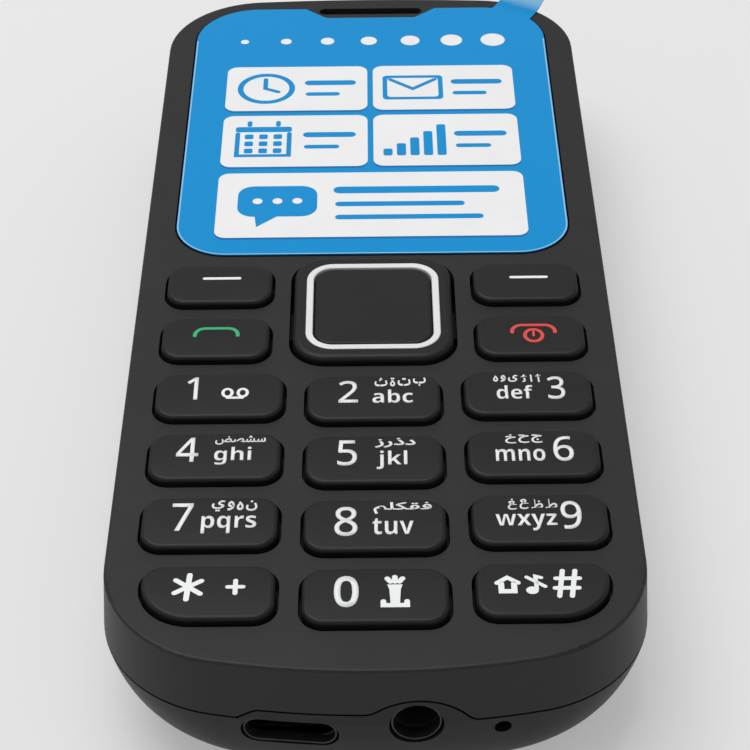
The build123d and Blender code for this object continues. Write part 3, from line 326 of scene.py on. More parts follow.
def slot_finishes():
    """A finish for each slot of the part"""
    tints = colours()
    makers = {
        "housing_plastic": (moulded, dict(tint=tints.housing, roughness=0.5, depth=0.000016,
                                          Specular_IOR_Level=0.3)),
        "cover_plastic": (moulded, dict(tint=tints.cover, roughness=0.48, Specular_IOR_Level=0.3)),
        "key_plastic": (moulded, dict(tint=tints.keys, roughness=0.46, grain=0.00018, depth=0.000006,
                                      Specular_IOR_Level=0.27)),
        "ring_plastic": (moulded, dict(tint=tints.ring, roughness=0.32, depth=0.000004, mottle=0.03,
                                       Coat_Weight=0.3)),
        "window_plastic": (clear, dict(tint=(0.02, 0.02, 0.022), roughness=0.06, transmission=0.3)),
        "film": (film_print, dict(tint=tints.film)),
        "adhesive": (foam, dict(tint=(0.03, 0.03, 0.03), cell=0.0002)),
        "mesh_cloth": (woven, dict(tint=(0.05, 0.05, 0.05), thread=0.00022)),
        "foam": (foam, dict(tint=(0.045, 0.045, 0.045), cell=0.00025)),
        "black_rubber": (foam, dict(tint=(0.03, 0.03, 0.03), cell=0.0004)),
        "receiver_plastic": (moulded, dict(tint=(0.05, 0.05, 0.053), roughness=0.4)),
        "display_glass": (clear, dict(tint=(0.1, 0.11, 0.12), roughness=0.04, transmission=0.5, ior=1.52)),
        "light_guide": (clear, dict(tint=(0.82, 0.82, 0.8), roughness=0.3, transmission=0.3)),
        "ribbon": (laminate, dict(ground=(0.32, 0.14, 0.03), track=(0.5, 0.26, 0.08), pitch=0.0006)),
        "contact_steel": (metal, dict(tint=(0.62, 0.6, 0.55), roughness=0.28)),
        "lamp_resin": (clear, dict(tint=(0.85, 0.8, 0.55), roughness=0.2, transmission=0.4)),
        "clear_plastic": (clear, dict(tint=(0.9, 0.92, 0.92), roughness=0.04, transmission=0.9)),
        "board_laminate": (laminate, dict(ground=(0.015, 0.11, 0.05), track=(0.05, 0.2, 0.08), pitch=0.0012)),
        "sheet_steel": (metal, dict(tint=(0.62, 0.62, 0.61), roughness=0.32)),
        "chip_resin": (moulded, dict(tint=(0.03, 0.03, 0.032), roughness=0.55)),
        "socket_plastic": (moulded, dict(tint=(0.02, 0.02, 0.02), roughness=0.42)),
        "battery_can": (moulded, dict(tint=(0.5, 0.51, 0.53), roughness=0.36, mottle=0.05, Metallic=0.2)),
        "motor_steel": (metal, dict(tint=(0.55, 0.55, 0.54), roughness=0.3)),
        "antenna_copper": (metal, dict(tint=(0.72, 0.38, 0.2), roughness=0.3)),
        "chassis_plastic": (moulded, dict(tint=(0.024, 0.024, 0.025), roughness=0.55, grain=0.0003)),
        "screw_steel": (metal, dict(tint=(0.5, 0.5, 0.5), roughness=0.3, stretch=(1, 1, 1))),
    }
    return {slot: make(slot, **settings) for slot, (make, settings) in makers.items()}


def piece_finishes():
    """Finishes of the added pieces, which are found by their names"""
    tints = colours()
    ink = dict(roughness=0.5, depth=0.000004)
    film = dict(grain=0.0008, depth=0.000003)
    blue = dict(roughness=0.3, Specular_IOR_Level=FILM_SPECULAR, **film)
    moulded("legend_ink", tints.legend, mottle=0.04, **ink)
    moulded("call_ink", tints.call, mottle=0.06, **ink)
    moulded("end_ink", tints.end, mottle=0.06, **ink)
    moulded("panel_ink", tints.panel, roughness=0.3, mottle=0.02, **film)
    moulded("film_ink", tints.film, mottle=0.03, **blue)
    moulded("shade_ink", tints.film_shade, mottle=0.05, **blue)
    metal("gold_plate", (0.85, 0.6, 0.25), roughness=0.25)
    moulded("rim_plastic", tints.rim, roughness=0.3, Specular_IOR_Level=0.5)
    # Painted highlight along the film's edge: a pale blue that stands for the light caught there
    moulded("edge_highlight_paint", tints.film_edge_highlight, roughness=0.25, mottle=0.03, **film)
    moulded("label_paper", tints.label, roughness=0.6, grain=0.0004, mottle=0.03)
    moulded("label_ink", (0.02, 0.02, 0.022), roughness=0.5, grain=0.0004, mottle=0.05)


# Modelling

def deselect():
    """Leaves edit mode and clears the selection"""
    if bpy.context.object and bpy.context.object.mode != "OBJECT":
        bpy.ops.object.mode_set(mode="OBJECT")
    bpy.ops.object.select_all(action="DESELECT")


def pick(piece):
    """Selects one piece alone and makes it active"""
    deselect()
    piece.select_set(True)
    bpy.context.view_layer.objects.active = piece


def edit(piece):
    """Opens a piece in edit mode with all of it selected"""
    pick(piece)
    bpy.ops.object.mode_set(mode="EDIT")
    bpy.ops.mesh.select_all(action="SELECT")


def leave():
    """Closes edit mode"""
    bpy.ops.object.mode_set(mode="OBJECT")


def bake_place(piece):
    """Puts a piece's place and size into its mesh"""
    pick(piece)
    bpy.ops.object.transform_apply(location=True, rotation=True, scale=True)


def modify(piece, kind, **settings):
    """Adds a modifier and applies it"""
    modifier = piece.modifiers.new(kind.lower(), kind)
    for name, value in settings.items():
        setattr(modifier, name, value)
    bpy.context.view_layer.objects.active = piece
    bpy.ops.object.modifier_apply(modifier=modifier.name)


def join(pieces):
    """One piece from several"""
    deselect()
    for piece in pieces:
        piece.select_set(True)
    bpy.context.view_layer.objects.active = pieces[0]
    if len(pieces) > 1:
        bpy.ops.object.join()
    return pieces[0]


def triangulate():
    """Cuts the faces of the piece in edit mode into triangles"""
    bpy.ops.mesh.quads_convert_to_tris(quad_method="BEAUTY", ngon_method="BEAUTY")


def settle(piece, name, body, finish):
    """Names a finished piece and gives it its finish, slot and body"""
    piece.name = name
    piece.data.name = name
    piece.data.materials.clear()
    piece.data.materials.append(bpy.data.materials[finish])
    for face in piece.data.polygons:
        face.material_index = 0
    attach(piece, body)


# Flat shapes for printing, in millimetres

SHARPEST_MITRE = 0.5


def patch(points):
    """A flat face with the given outline"""
    deselect()
    bpy.ops.mesh.primitive_circle_add(vertices=len(points), radius=MM, fill_type="NGON")
    piece = bpy.context.object
    turned = sum(a[0] * b[1] - b[0] * a[1] for a, b in zip(points, points[1:] + points[:1]))
    ordered = points if turned > 0 else points[::-1]
    for vertex, (x, y) in zip(piece.data.vertices, ordered):
        vertex.co = (x * MM, y * MM, 0)
    edit(piece)
    bpy.ops.mesh.normals_make_consistent(inside=False)
    leave()
    return piece


def patches(outlines):
    """A flat face for each outline"""
    return [patch(outline) for outline in outlines]


def moved(points, x, y):
    """Points round a middle, moved to that middle"""
    return [(x + a, y + b) for a, b in points]


def oval(x, y, across, high, count=28):
    """The outline of an oval"""
    turns = [2 * math.pi * step / count for step in range(count)]
    return [(x + across / 2 * math.cos(turn), y + high / 2 * math.sin(turn)) for turn in turns]


def arc(x, y, across, high, start, end, count=7):
    """Points along part of an oval, from one angle in degrees to another"""
    turns = [math.radians(start + (end - start) * step / (count - 1)) for step in range(count)]
    return [(x + across * math.cos(turn), y + high * math.sin(turn)) for turn in turns]


def box_outline(x, y, across, high, radius):
    """The outline of a box with round corners"""
    a, b = across / 2 - radius, high / 2 - radius
    corners = ((a, b, 0), (-a, b, 90), (-a, -b, 180), (a, -b, 270))
    points = []
    for side, end, turn in corners:
        points += arc(x + side, y + end, radius, radius, turn, turn + 90)
    return points


def stroke(path, width):
    """The outline of a line with round ends"""
    ways = []
    for before, after in zip(path, path[1:]):
        ways.append((Vector(after) - Vector(before)).normalized())
    left, right = [], []
    for index, point in enumerate(path):
        first = ways[max(index - 1, 0)]
        last = ways[min(index, len(ways) - 1)]
        way = (first + last).normalized()
        reach = width / 2 / max(SHARPEST_MITRE, way.dot(first))
        side = Vector((-way.y, way.x)) * reach
        left.append(tuple(Vector(point) + side))
        right.append(tuple(Vector(point) - side))
    start = math.degrees(math.atan2(ways[0].y, ways[0].x))
    end = math.degrees(math.atan2(ways[-1].y, ways[-1].x))
    tail = arc(*path[0], width / 2, width / 2, start + 90, start + 270)
    head = arc(*path[-1], width / 2, width / 2, end - 90, end + 90)
    return right[1:-1] + head + left[1:-1][::-1] + tail


def bars(x, y, width, *lines):
    """Outlines of straight lines round a middle, each from its two ends"""
    return [stroke([(x + a, y + b), (x + c, y + d)], width) for a, b, c, d in lines]


def spokes(x, y, width, *tips):
    """The outline of lines with round ends that meet in a middle, from their tips in turn"""
    turns = [math.degrees(math.atan2(b, a)) for a, b in tips]
    points = []
    for (a, b), turn, after in zip(tips, turns, turns[1:] + turns[:1]):
        half = (after - turn) % 360 / 2
        inner = width / 2 / math.sin(math.radians(half))
        points += arc(x + a, y + b, width / 2, width / 2, turn - 90, turn + 90)
        points += arc(x, y, inner, inner, turn + half, turn + half, 2)[:1]
    return points


def band(points, line):
    """A flat band: an outline whose edge is drawn inwards"""
    deselect()
    bpy.ops.mesh.primitive_circle_add(vertices=len(points), radius=MM, fill_type="NOTHING")
    piece = bpy.context.object
    for vertex, (x, y) in zip(piece.data.vertices, points):
        vertex.co = (x * MM, y * MM, 0)
    xs, ys = zip(*points)
    across, high = max(xs) - min(xs), max(ys) - min(ys)
    middle = ((max(xs) + min(xs)) / 2 * MM, (max(ys) + min(ys)) / 2 * MM, 0)
    shrink = ((across - 2 * line) / across, (high - 2 * line) / high, 1)
    edit(piece)
    bpy.ops.mesh.extrude_edges_move()
    bpy.ops.transform.resize(value=shrink, center_override=middle)
    bpy.ops.mesh.select_all(action="SELECT")
    bpy.ops.mesh.normals_make_consistent(inside=False)
    leave()
    if piece.data.polygons[0].normal.z < 0:
        edit(piece)
        bpy.ops.mesh.flip_normals()
        leave()
    return piece


def ring(x, y, across, high, line, count=32):
    """A flat oval ring"""
    return band(oval(x, y, across, high, count), line)


def line_shapes(x, y, *lines):
    """Plain lines that stand for words: start, height over the middle, length and width"""
    outlines = []
    for start, up, reach, width in lines:
        outlines.append(stroke([(x + start, y + up), (x + start + reach, y + up)], width))
    return patches(outlines)


def lay_flat(pieces, height, thickness, side):
    """One piece from flat shapes, at a height and with a thickness above it or below it"""
    piece = join(pieces)
    edit(piece)
    triangulate()
    bpy.ops.transform.translate(value=(0, 0, height))
    leave()
    modify(piece, "SOLIDIFY", thickness=thickness, offset=side)
    return piece


# Legends of the keys, in millimetres

# Code points of the digit nought and the letter a of the built-in font's two sets
FIRST_DIGIT = 0x1D7E2
FIRST_LETTER = 0x1D5EE

# How far the lines of a text swell, in its own units
DIGIT_SWELL = 0.008
ZERO_SWELL = 0.024
LETTER_SWELL = -0.006
SMALL_SWELL = 0.016
HEAVY_SWELL = 0.024

# The curves' steps, the gap in a row of letters as a share of it, and how far their heights are levelled
TEXT_STEPS = 4
LETTER_GAP = 0.05
LETTER_LEVEL = 0.4

MERGE_REACH = 0.000002


def digit(number):
    return chr(FIRST_DIGIT + number)


def letters(text):
    return "".join(chr(FIRST_LETTER + ord(letter) - ord("a")) for letter in text)


# Each key's texts: the text, the middle of its box, the box's width and height, and how far its lines swell
KEY_TEXTS = {
    "key_1": [(digit(1), -16.24, -18.72, 1.0, 3.22, DIGIT_SWELL)],
    "key_2": [(digit(2), -2.27, -19.4, 1.74, 3.12, DIGIT_SWELL),
              (letters("abc"), 1.69, -20.1, 3.62, 1.86, LETTER_SWELL),
              ("ﺙ ﺓ ﺕ ﺏ", 2.39, -18.05, 4.6, 1.3, HEAVY_SWELL)],
    "key_3": [(digit(3), 16.33, -19.09, 1.54, 3.22, DIGIT_SWELL),
              (letters("def"), 12.6, -19.68, 3.24, 1.91, LETTER_SWELL),
              ("ﻩ ﻭ ﻯ ﺋ ﺍ ﺃ", 12.95, -17.71, 4.4, 1.2, HEAVY_SWELL)],
    "key_4": [(digit(4), -16.18, -27.17, 1.92, 3.26, DIGIT_SWELL),
              (letters("ghi"), -12.23, -28.03, 3.21, 2.32, LETTER_SWELL),
              ("ﺾﺼﺸﺳ", -11.63, -25.91, 4.4, 1.25, SMALL_SWELL)],
    "key_5": [(digit(5), -2.34, -27.78, 1.7, 3.38, DIGIT_SWELL),
              (letters("jkl"), 1.53, -28.77, 2.65, 2.41, LETTER_SWELL),
              ("ﺯﺭﺫﺩ", 1.83, -26.48, 3.56, 1.35, HEAVY_SWELL)],
    "key_6": [(digit(6), 16.37, -27.48, 1.74, 3.3, DIGIT_SWELL),
              (letters("mno"), 12.63, -28.31, 4.28, 1.57, LETTER_SWELL),
              ("ﺥ ﺡ ﺝ", 13.03, -26.12, 3.26, 1.3, HEAVY_SWELL)],
    "key_7": [(digit(7), -16.12, -35.82, 1.77, 3.42, DIGIT_SWELL),
              (letters("pqrs"), -12.19, -36.81, 4.6, 2.12, LETTER_SWELL),
              ("ﻱ ﻭ ﻩ ﻥ", -11.79, -34.47, 3.84, 1.44, HEAVY_SWELL)],
    "key_8": [(digit(8), -2.41, -36.55, 1.92, 3.6, DIGIT_SWELL),
              (letters("tuv"), 1.52, -37.23, 3.43, 1.96, LETTER_SWELL),
              ("ﻢﻠﻜﻘﻓ", 2.35, -34.92, 4.9, 1.51, SMALL_SWELL)],
    "key_9": [(digit(9), 16.43, -36.01, 1.72, 3.47, DIGIT_SWELL),
              (letters("wxyz"), 12.65, -36.89, 5.11, 2.01, LETTER_SWELL),
              ("ﻎ ﻊ ﻅ ﻁ", 13.26, -34.61, 4.16, 1.45, SMALL_SWELL)],
    "key_0": [(digit(0), -2.35, -44.92, 2.0, 3.58, ZERO_SWELL)],
}

# Keys that carry only drawn signs
SIGN_KEYS = ["key_star", "key_hash", "soft_key_left", "soft_key_right", "call_key", "end_key"]

# Places of the signs on the keys
SOFT_PLACES = {"soft_key_left": (-14.38, -2.09), "soft_key_right": (14.86, -2.33)}
CALL_PLACE = (-14.49, -10.48)
END_PLACE = (14.81, -10.41)
STAR_PLACE = (-15.14, -44.25)
PLUS_PLACE = (-11.31, -44.29)
TORCH_PLACE = (1.58, -44.92)
HOME_PLACE = (10.67, -44.32)
NOTE_PLACE = (12.94, -44.29)
HASH_PLACE = (15.5, -44.22)

# The dash of the soft keys: half its length and its width
SOFT_REACH = 1.66
SOFT_LINE = 0.37

# The end key's ring: middle, width, height and line, and the bar in it: middle, width and ends
POWER_RING = (14.79, -11.42, 1.95, 2.1, 0.34)
POWER_BAR = (14.79, -11.2, 0.22, (0, -0.3, 0, 0.35))

# The mail sign: its middle, its loops' spread, their place, width, height and line, and the bar under them
MAIL_X = -12.39
MAIL_SPREAD = 0.68
MAIL_LOOP = (-19.42, 1.1, 1.36, 0.28)
MAIL_BAR = (-20.12, 0.28, (-MAIL_SPREAD, 0, MAIL_SPREAD, 0))

# Points of the drawn signs round their middles, and the widths of their lines
STAR_TIPS = [(1.06, 0.7), (0.08, 1.42), (-1.02, 0.8), (-1.06, -0.7), (-0.08, -1.42), (1.02, -0.8)]
STAR_LINE = 0.46
PLUS_TIPS = [(0.62, 0), (0, 0.74), (-0.62, 0), (0, -0.74)]
PLUS_LINE = 0.4
TORCH_BODY = [(-0.62, 0.74), (-0.46, 0.16), (-0.38, -1.39), (0.38, -1.39), (0.46, 0.16), (0.62, 0.74)]
TORCH_FOOT = [(-0.95, -1.2), (-0.95, -1.62), (0.95, -1.62), (0.95, -1.2)]
TORCH_RAYS = [(-0.36, 1.06, -0.62, 1.46), (0, 1.06, 0, 1.64), (0.36, 1.06, 0.62, 1.46)]
TORCH_LINE = 0.46
HOME_ROOF = [(-0.86, 0.18), (0, 0.82), (0.86, 0.18)]
ROOF_LINE = 0.42
HOME_WALLS = [(-0.52, 0.1), (-0.52, -0.78), (0.52, -0.78), (0.52, 0.1)]
WALL_LINE = 0.48
NOTE_STEM = [(0.06, -0.6), (0.02, 0.92), (0.48, 0.74)]
NOTE_SLASH = (-0.7, 0.82, 0.76, -0.3)
NOTE_LINE = 0.34
NOTE_HEAD = (-0.3, -0.72)
NOTE_HEAD_SIZE = (1.02, 0.86, 20)


def letter_mesh(text, swell):
    """Text as a flat mesh at its own size"""
    deselect()
    bpy.ops.object.text_add()
    piece = bpy.context.object
    piece.data.body = text
    piece.data.resolution_u = TEXT_STEPS
    piece.data.offset = swell
    bpy.ops.object.convert(target="MESH")
    return bpy.context.object


def fit(piece, x, y, across, high):
    """Fits a flat mesh to a box, given by its middle, width and height"""
    xs = [vertex.co.x for vertex in piece.data.vertices]
    ys = [vertex.co.y for vertex in piece.data.vertices]
    wide, tall = across * MM / (max(xs) - min(xs)), high * MM / (max(ys) - min(ys))
    piece.scale = (wide, tall, 1)
    piece.location = (x * MM - (max(xs) + min(xs)) / 2 * wide, y * MM - (max(ys) + min(ys)) / 2 * tall, 0)
    bake_place(piece)


def words(text, x, y, across, high, swell):
    """Text that fills a box, and letters with gaps between them as a row of letters of like height"""
    pieces = [letter_mesh(part, swell) for part in text.split()]
    spans = [piece.dimensions.copy() for piece in pieces]
    gap = LETTER_GAP * across if len(pieces) > 1 else 0
    share = (across - gap * (len(pieces) - 1)) / sum(span.x for span in spans)
    tallest = max(span.y for span in spans)
    start = x - across / 2
    for piece, span in zip(pieces, spans):
        reach = span.x * share
        fit(piece, start + reach / 2, y, reach, high * (span.y / tallest) ** LETTER_LEVEL)
        start += reach + gap
    return pieces


def printed(pieces, key, finish):
    """Prints flat shapes on the top of a key: cut into strips, laid on it and given the ink's height"""
    piece = join(pieces)
    edit(piece)
    triangulate()
    bpy.ops.mesh.remove_doubles(threshold=MERGE_REACH)
    ys = [vertex.co.y for vertex in piece.data.vertices]
    cut = min(ys)
    step = sizes().ink_step
    while cut + step < max(ys):
        cut += step
        bpy.ops.mesh.select_all(action="SELECT")
        bpy.ops.mesh.bisect(plane_co=(0, cut, 0), plane_no=(0, 1, 0))
    bpy.ops.mesh.select_all(action="SELECT")
    bpy.ops.transform.translate(value=(0, 0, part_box(key)[1].z + MM))
    leave()
    modify(piece, "SHRINKWRAP", target=NODES[key], wrap_method="PROJECT", use_project_z=True,
           use_positive_direction=False, use_negative_direction=True)
    modify(piece, "SOLIDIFY", thickness=sizes().ink_height, offset=1.0)
    settle(piece, key + "_legend", key, finish)


def call_symbol(x, y):
    """The outline of a handset: a line with its ends turned down"""
    reach, drop, line = 1.98, 0.56, 0.36
    bend, level, across, high = 1.05, 0.42, 0.93, 0.98
    path = [(x - reach, y - drop)]
    path += arc(x - bend, y - level, across, high, 180, 90)
    path += arc(x + bend, y - level, across, high, 90, 0)
    path.append((x + reach, y - drop))
    return stroke(path, line)


def torch_outlines(x, y):
    """A torch that stands on a foot, with three rays"""
    foot = stroke(moved(TORCH_FOOT, x, y), TORCH_LINE)
    return [moved(TORCH_BODY, x, y), foot] + bars(x, y, TORCH_LINE, *TORCH_RAYS)


def home_outlines(x, y):
    """A roof over walls"""
    return [stroke(moved(HOME_ROOF, x, y), ROOF_LINE), stroke(moved(HOME_WALLS, x, y), WALL_LINE)]


def silent_outlines(x, y):
    """A note with a line across it"""
    head = oval(x + NOTE_HEAD[0], y + NOTE_HEAD[1], *NOTE_HEAD_SIZE)
    return [head, stroke(moved(NOTE_STEM, x, y), NOTE_LINE)] + bars(x, y, NOTE_LINE, NOTE_SLASH)


def hash_outlines(x, y):
    """A hash in two halves that meet in the middle of its level bars"""
    line, lean, foot, level, tall = 0.21, 0.142, 0.51, 0.56, 1.48
    upper_reach, lower_reach = 0.9, 1.02
    top, low = level + line, level - line
    slope = math.degrees(math.atan2(1, lean))
    half = arc(-foot - tall * lean, -tall, line, line, slope + 90, slope + 270)
    for high in (-top, -low, low, top):
        edge = (-foot + line + lean * high, high)
        half += [edge, (0, high)] if high in (-top, low) else [(0, high), edge]
    half += arc(-foot + tall * lean, tall, line, line, slope - 90, slope + 90)
    for middle, reach in ((level, upper_reach), (-level, lower_reach)):
        half += [(-foot - line + lean * (middle + line), middle + line)]
        half += arc(-reach, middle, line, line, 90, 270)
        half += [(-foot - line + lean * (middle - line), middle - line)]
    return [moved(half, x, y), [(x - a, y - b) for a, b in half]]


def key_symbols(key):
    """Flat pieces of a key's drawn signs"""
    if key == "end_key":
        return [patch(call_symbol(*END_PLACE)), ring(*POWER_RING)] + patches(bars(*POWER_BAR))
    if key == "key_1":
        loops = [ring(MAIL_X + side * MAIL_SPREAD, *MAIL_LOOP) for side in (-1, 1)]
        return loops + patches(bars(MAIL_X, *MAIL_BAR))
    outlines = []
    if key in SOFT_PLACES:
        outlines = bars(*SOFT_PLACES[key], SOFT_LINE, (-SOFT_REACH, 0, SOFT_REACH, 0))
    elif key == "call_key":
        outlines = [call_symbol(*CALL_PLACE)]
    elif key == "key_star":
        outlines = [spokes(*STAR_PLACE, STAR_LINE, *STAR_TIPS), spokes(*PLUS_PLACE, PLUS_LINE, *PLUS_TIPS)]
    elif key == "key_0":
        outlines = torch_outlines(*TORCH_PLACE)
    elif key == "key_hash":
        outlines = home_outlines(*HOME_PLACE) + silent_outlines(*NOTE_PLACE) + hash_outlines(*HASH_PLACE)
    return patches(outlines)


# Printing on the film, in millimetres

FILM_TOP = 14.72 * MM

# Panels of the film's design: middle, width and height
PANELS = [(-8.0, 33.4, 15.2, 9.0), (7.8, 33.4, 15.2, 9.0), (-8.0, 23.0, 15.2, 9.8), (7.8, 23.0, 15.2, 9.8),
          (-0.1, 11.2, 31.0, 11.4)]

# Lines that stand for words in a small panel and in the wide one: start, height, length and width
PANEL_LINES = [(1.3, 1.1, 4.6, 0.95), (1.3, -1.2, 3.0, 0.7)]
WIDE_LINES = [(-3.2, 2.5, 15.6, 1.2), (-3.2, 0.0, 12.2, 0.8), (-3.2, -2.3, 14.0, 0.8)]

# How far the pictograms stand to the left of the panels' middles, and the width of their lines
PICTOGRAM_SHIFT = 3.3
BUBBLE_SHIFT = 9.4
PICTOGRAM_LINE = 0.5

# The clock's width, height, rim and steps, and its hands
CLOCK_RIM = (6.2, 6.2, 0.62, 40)
CLOCK_HANDS = [(-0.1, 1.9), (-0.1, 0), (1.3, -0.7)]

# The envelope's width, height and corners, and its flap
ENVELOPE = (6.5, 4.9, 0.5)
ENVELOPE_FLAP = [(-2.4, 1.62), (0, -0.3), (2.4, 1.62)]

# The calendar's sheet, the columns, rows and shape of its days, its head and its two rings
LEAF = [(-2.7, 1.4), (-2.7, -2.8), (2.7, -2.8), (2.7, 1.4)]
DAY_COLUMNS = (-1.5, 0, 1.5)
DAY_ROWS = (-1.9, -0.55, 0.8)
DAY = (0.9, 0.9, 0.2)
LEAF_HEAD_RISE = 2.2
LEAF_HEAD = (5.9, 1.0, 0.3)
LEAF_RINGS = [(-1.5, 3.0, -1.5, 3.6), (1.5, 3.0, 1.5, 3.6)]

# The signal's bars: their heights, spacing, foot under the middle, width and corners
SIGNAL_RISES = (1.3, 2.3, 3.4, 4.6, 5.9)
SIGNAL_PITCH = 1.4
SIGNAL_FOOT = 3.0
SIGNAL_WIDTH = 0.95
SIGNAL_CORNER = 0.25

# The speech bubble's rise over the middle, its shape, its tail and the dots in it
BUBBLE_RISE = 0.6
BUBBLE = (8.0, 5.4, 1.6)
BUBBLE_TAIL = [(-2.2, -2.1), (-2.0, -3.9), (0, -2.1)]
BUBBLE_DOTS = (-2, 0, 2)
BUBBLE_DOT = 1.0

# The row of dots: its start, spacing and place up the film, and the dots' first width, growth and number
DOTS_START = -14.0
DOTS_PITCH = 4.6
DOTS_Y = 43.4
DOT_WIDTH = 0.9
DOT_GROWTH = 0.3
DOT_COUNT = 7

# The film's half width, lower edge, end of its straight sides and lower corners, and the painted highlight
# line along them
FILM_EDGE = (19.26, 2.765, 43.6, 5.0)
FILM_EDGE_HIGHLIGHT_LINE = 0.16
FILM_EDGE_STEPS = 13


def clock_shapes(x, y):
    """A clock's rim and hands"""
    return [ring(x, y, *CLOCK_RIM), patch(stroke(moved(CLOCK_HANDS, x, y), PICTOGRAM_LINE))]


def letter_shapes(x, y):
    """An envelope: its edge and its flap"""
    flap = stroke(moved(ENVELOPE_FLAP, x, y), PICTOGRAM_LINE)
    return [band(box_outline(x, y, *ENVELOPE), PICTOGRAM_LINE), patch(flap)]


def calendar_shapes(x, y):
    """A calendar leaf with two rings and nine days"""
    sheet = stroke(moved(LEAF, x, y), PICTOGRAM_LINE)
    days = [box_outline(x + a, y + b, *DAY) for a in DAY_COLUMNS for b in DAY_ROWS]
    head = box_outline(x, y + LEAF_HEAD_RISE, *LEAF_HEAD)
    return patches([sheet] + days + [head] + bars(x, y, PICTOGRAM_LINE, *LEAF_RINGS))


def signal_shapes(x, y):
    """Five bars that rise"""
    columns = []
    for step, rise in enumerate(SIGNAL_RISES):
        place = (x + (step - 2) * SIGNAL_PITCH, y - SIGNAL_FOOT + rise / 2)
        columns.append(box_outline(*place, SIGNAL_WIDTH, rise, SIGNAL_CORNER))
    return patches(columns)


def speech_shapes(x, y):
    """A speech bubble with its tail, which comes after three of its four corners"""
    bubble = box_outline(x, y + BUBBLE_RISE, *BUBBLE)
    low = len(bubble) * 3 // 4
    return [patch(bubble[:low] + moved(BUBBLE_TAIL, x, y) + bubble[low:])]


def film_pictograms():
    """The blue printing of every panel"""
    shapes = []
    for draw, panel in zip((clock_shapes, letter_shapes, calendar_shapes, signal_shapes), PANELS):
        x, y = panel[:2]
        shapes += draw(x - PICTOGRAM_SHIFT, y)
        shapes += line_shapes(x, y, *PANEL_LINES)
    x, y = PANELS[-1][:2]
    return shapes + speech_shapes(x - BUBBLE_SHIFT, y) + line_shapes(x, y, *WIDE_LINES)


def header_dots():
    """A row of white dots that grow to the right"""
    outlines = []
    for step in range(DOT_COUNT):
        wide = DOT_WIDTH + DOT_GROWTH * step
        outlines.append(oval(DOTS_START + DOTS_PITCH * step, DOTS_Y, wide, wide))
    return patches(outlines)


def speech_dots():
    """The white dots in the speech bubble"""
    x, y = PANELS[-1][:2]
    places = [(x - BUBBLE_SHIFT + side, y + BUBBLE_RISE) for side in BUBBLE_DOTS]
    return patches([oval(*place, BUBBLE_DOT, BUBBLE_DOT) for place in places])


def film_edge_highlight_line():
    """A thin painted highlight along the film's sides and lower edge"""
    x, low, high, radius = FILM_EDGE
    path = [(-x, high)] + arc(-x + radius, low + radius, radius, radius, 180, 270, FILM_EDGE_STEPS)
    path += arc(x - radius, low + radius, radius, radius, 270, 360, FILM_EDGE_STEPS) + [(x, high)]
    return stroke(path, FILM_EDGE_HIGHLIGHT_LINE)


def lay_on_film(pieces, name, finish, height):
    """Lays flat shapes on the film at a height and gives them the ink's thickness"""
    piece = lay_flat(pieces, FILM_TOP + height, sizes().film_ink, side=1.0)
    settle(piece, name, "phone", finish)


# Sockets of the lower end

# The lower end's curve in metres, then the rims' set-back and their flange in millimetres
END_RADIUS = 0.0675
RIM_DEPTH = 0.4
FLANGE_DEPTH = 1.22
FLANGE = 0.14
FLANGE_WIDTH = 0.75

# The headphone socket's middle, its rim's and flange's widths and steps, and the rim's line, in millimetres
JACK_PLACE = (3.18, 8.7)
JACK_RIM = 4.12
JACK_FLANGE = 5.3
JACK_STEPS = 48
JACK_LINE = 0.18

# The data socket's middle, its rim's and flange's widths, heights and corners, and the rim's line
DATA_PLACE = (-6.95, 7.45)
DATA_RIM = (7.6, 2.5, 1.2)
DATA_FLANGE = (8.8, 3.7, 1.8)
DATA_LINE = 0.16

# The data socket's contacts: their spacing, middle along the phone and length in millimetres
CONTACT_PITCH = 0.65
CONTACT_Y = -48.65
CONTACT_LENGTH = 4.1

# Height of the socket's blade, and the contacts' thickness under it, in metres
BLADE_Z = 0.00755
CONTACT_LINE = 0.00005

SMOOTH_BELOW = math.radians(40)
BEVEL_SEGMENTS = 3


def end_band(outline, line, depth, thickness):
    """A band with thickness behind the curved lower end, its front at a depth in millimetres"""
    piece = band(outline, line)
    piece.rotation_euler = (math.radians(90), 0, 0)
    piece.location = (0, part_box("battery_cover")[0].y + depth * MM, 0)
    bake_place(piece)
    for vertex in piece.data.vertices:
        vertex.co.y += vertex.co.x ** 2 / (2 * END_RADIUS)
    modify(piece, "SOLIDIFY", thickness=thickness * MM, offset=-1.0)
    return piece


def socket_rim(front, back, line, name):
    """The rim in a socket's mouth, set back in its hole, with a flange behind the cover's wall"""
    rim = end_band(front, line, RIM_DEPTH, FLANGE_DEPTH - RIM_DEPTH + FLANGE)
    piece = join([rim, end_band(back, FLANGE_WIDTH, FLANGE_DEPTH, FLANGE)])
    modify(piece, "BEVEL", width=sizes().rim_edge, segments=BEVEL_SEGMENTS, limit_method="ANGLE")
    pick(piece)
    bpy.ops.object.shade_smooth_by_angle(angle=SMOOTH_BELOW)
    settle(piece, name, "battery_cover", "rim_plastic")


# The battery's label, in millimetres

# How much the label is narrower and shorter than the battery, and its corners
LABEL_TRIM = (4, 3)
LABEL_CORNER = 1.5

# The marks of the poles: how far from the battery's end and from its middle, half their length and their line
POLE_DROP = 6.5
POLE_SPREAD = 9
POLE_REACH = 1.5
POLE_LINE = 0.7

# Lines that stand for words: start, height, length and width
LABEL_LINES = [(-11, 8, 22, 1.2), (-11, 3, 22, 0.7), (-11, 0, 22, 0.7), (-11, -3, 14, 0.7)]

# The empty frame: how much it is narrower than the battery, its height, its corners and its line
LABEL_FRAME_TRIM = 12
LABEL_FRAME_HEIGHT = 9
LABEL_FRAME_CORNER = 1
LABEL_FRAME_LINE = 0.5


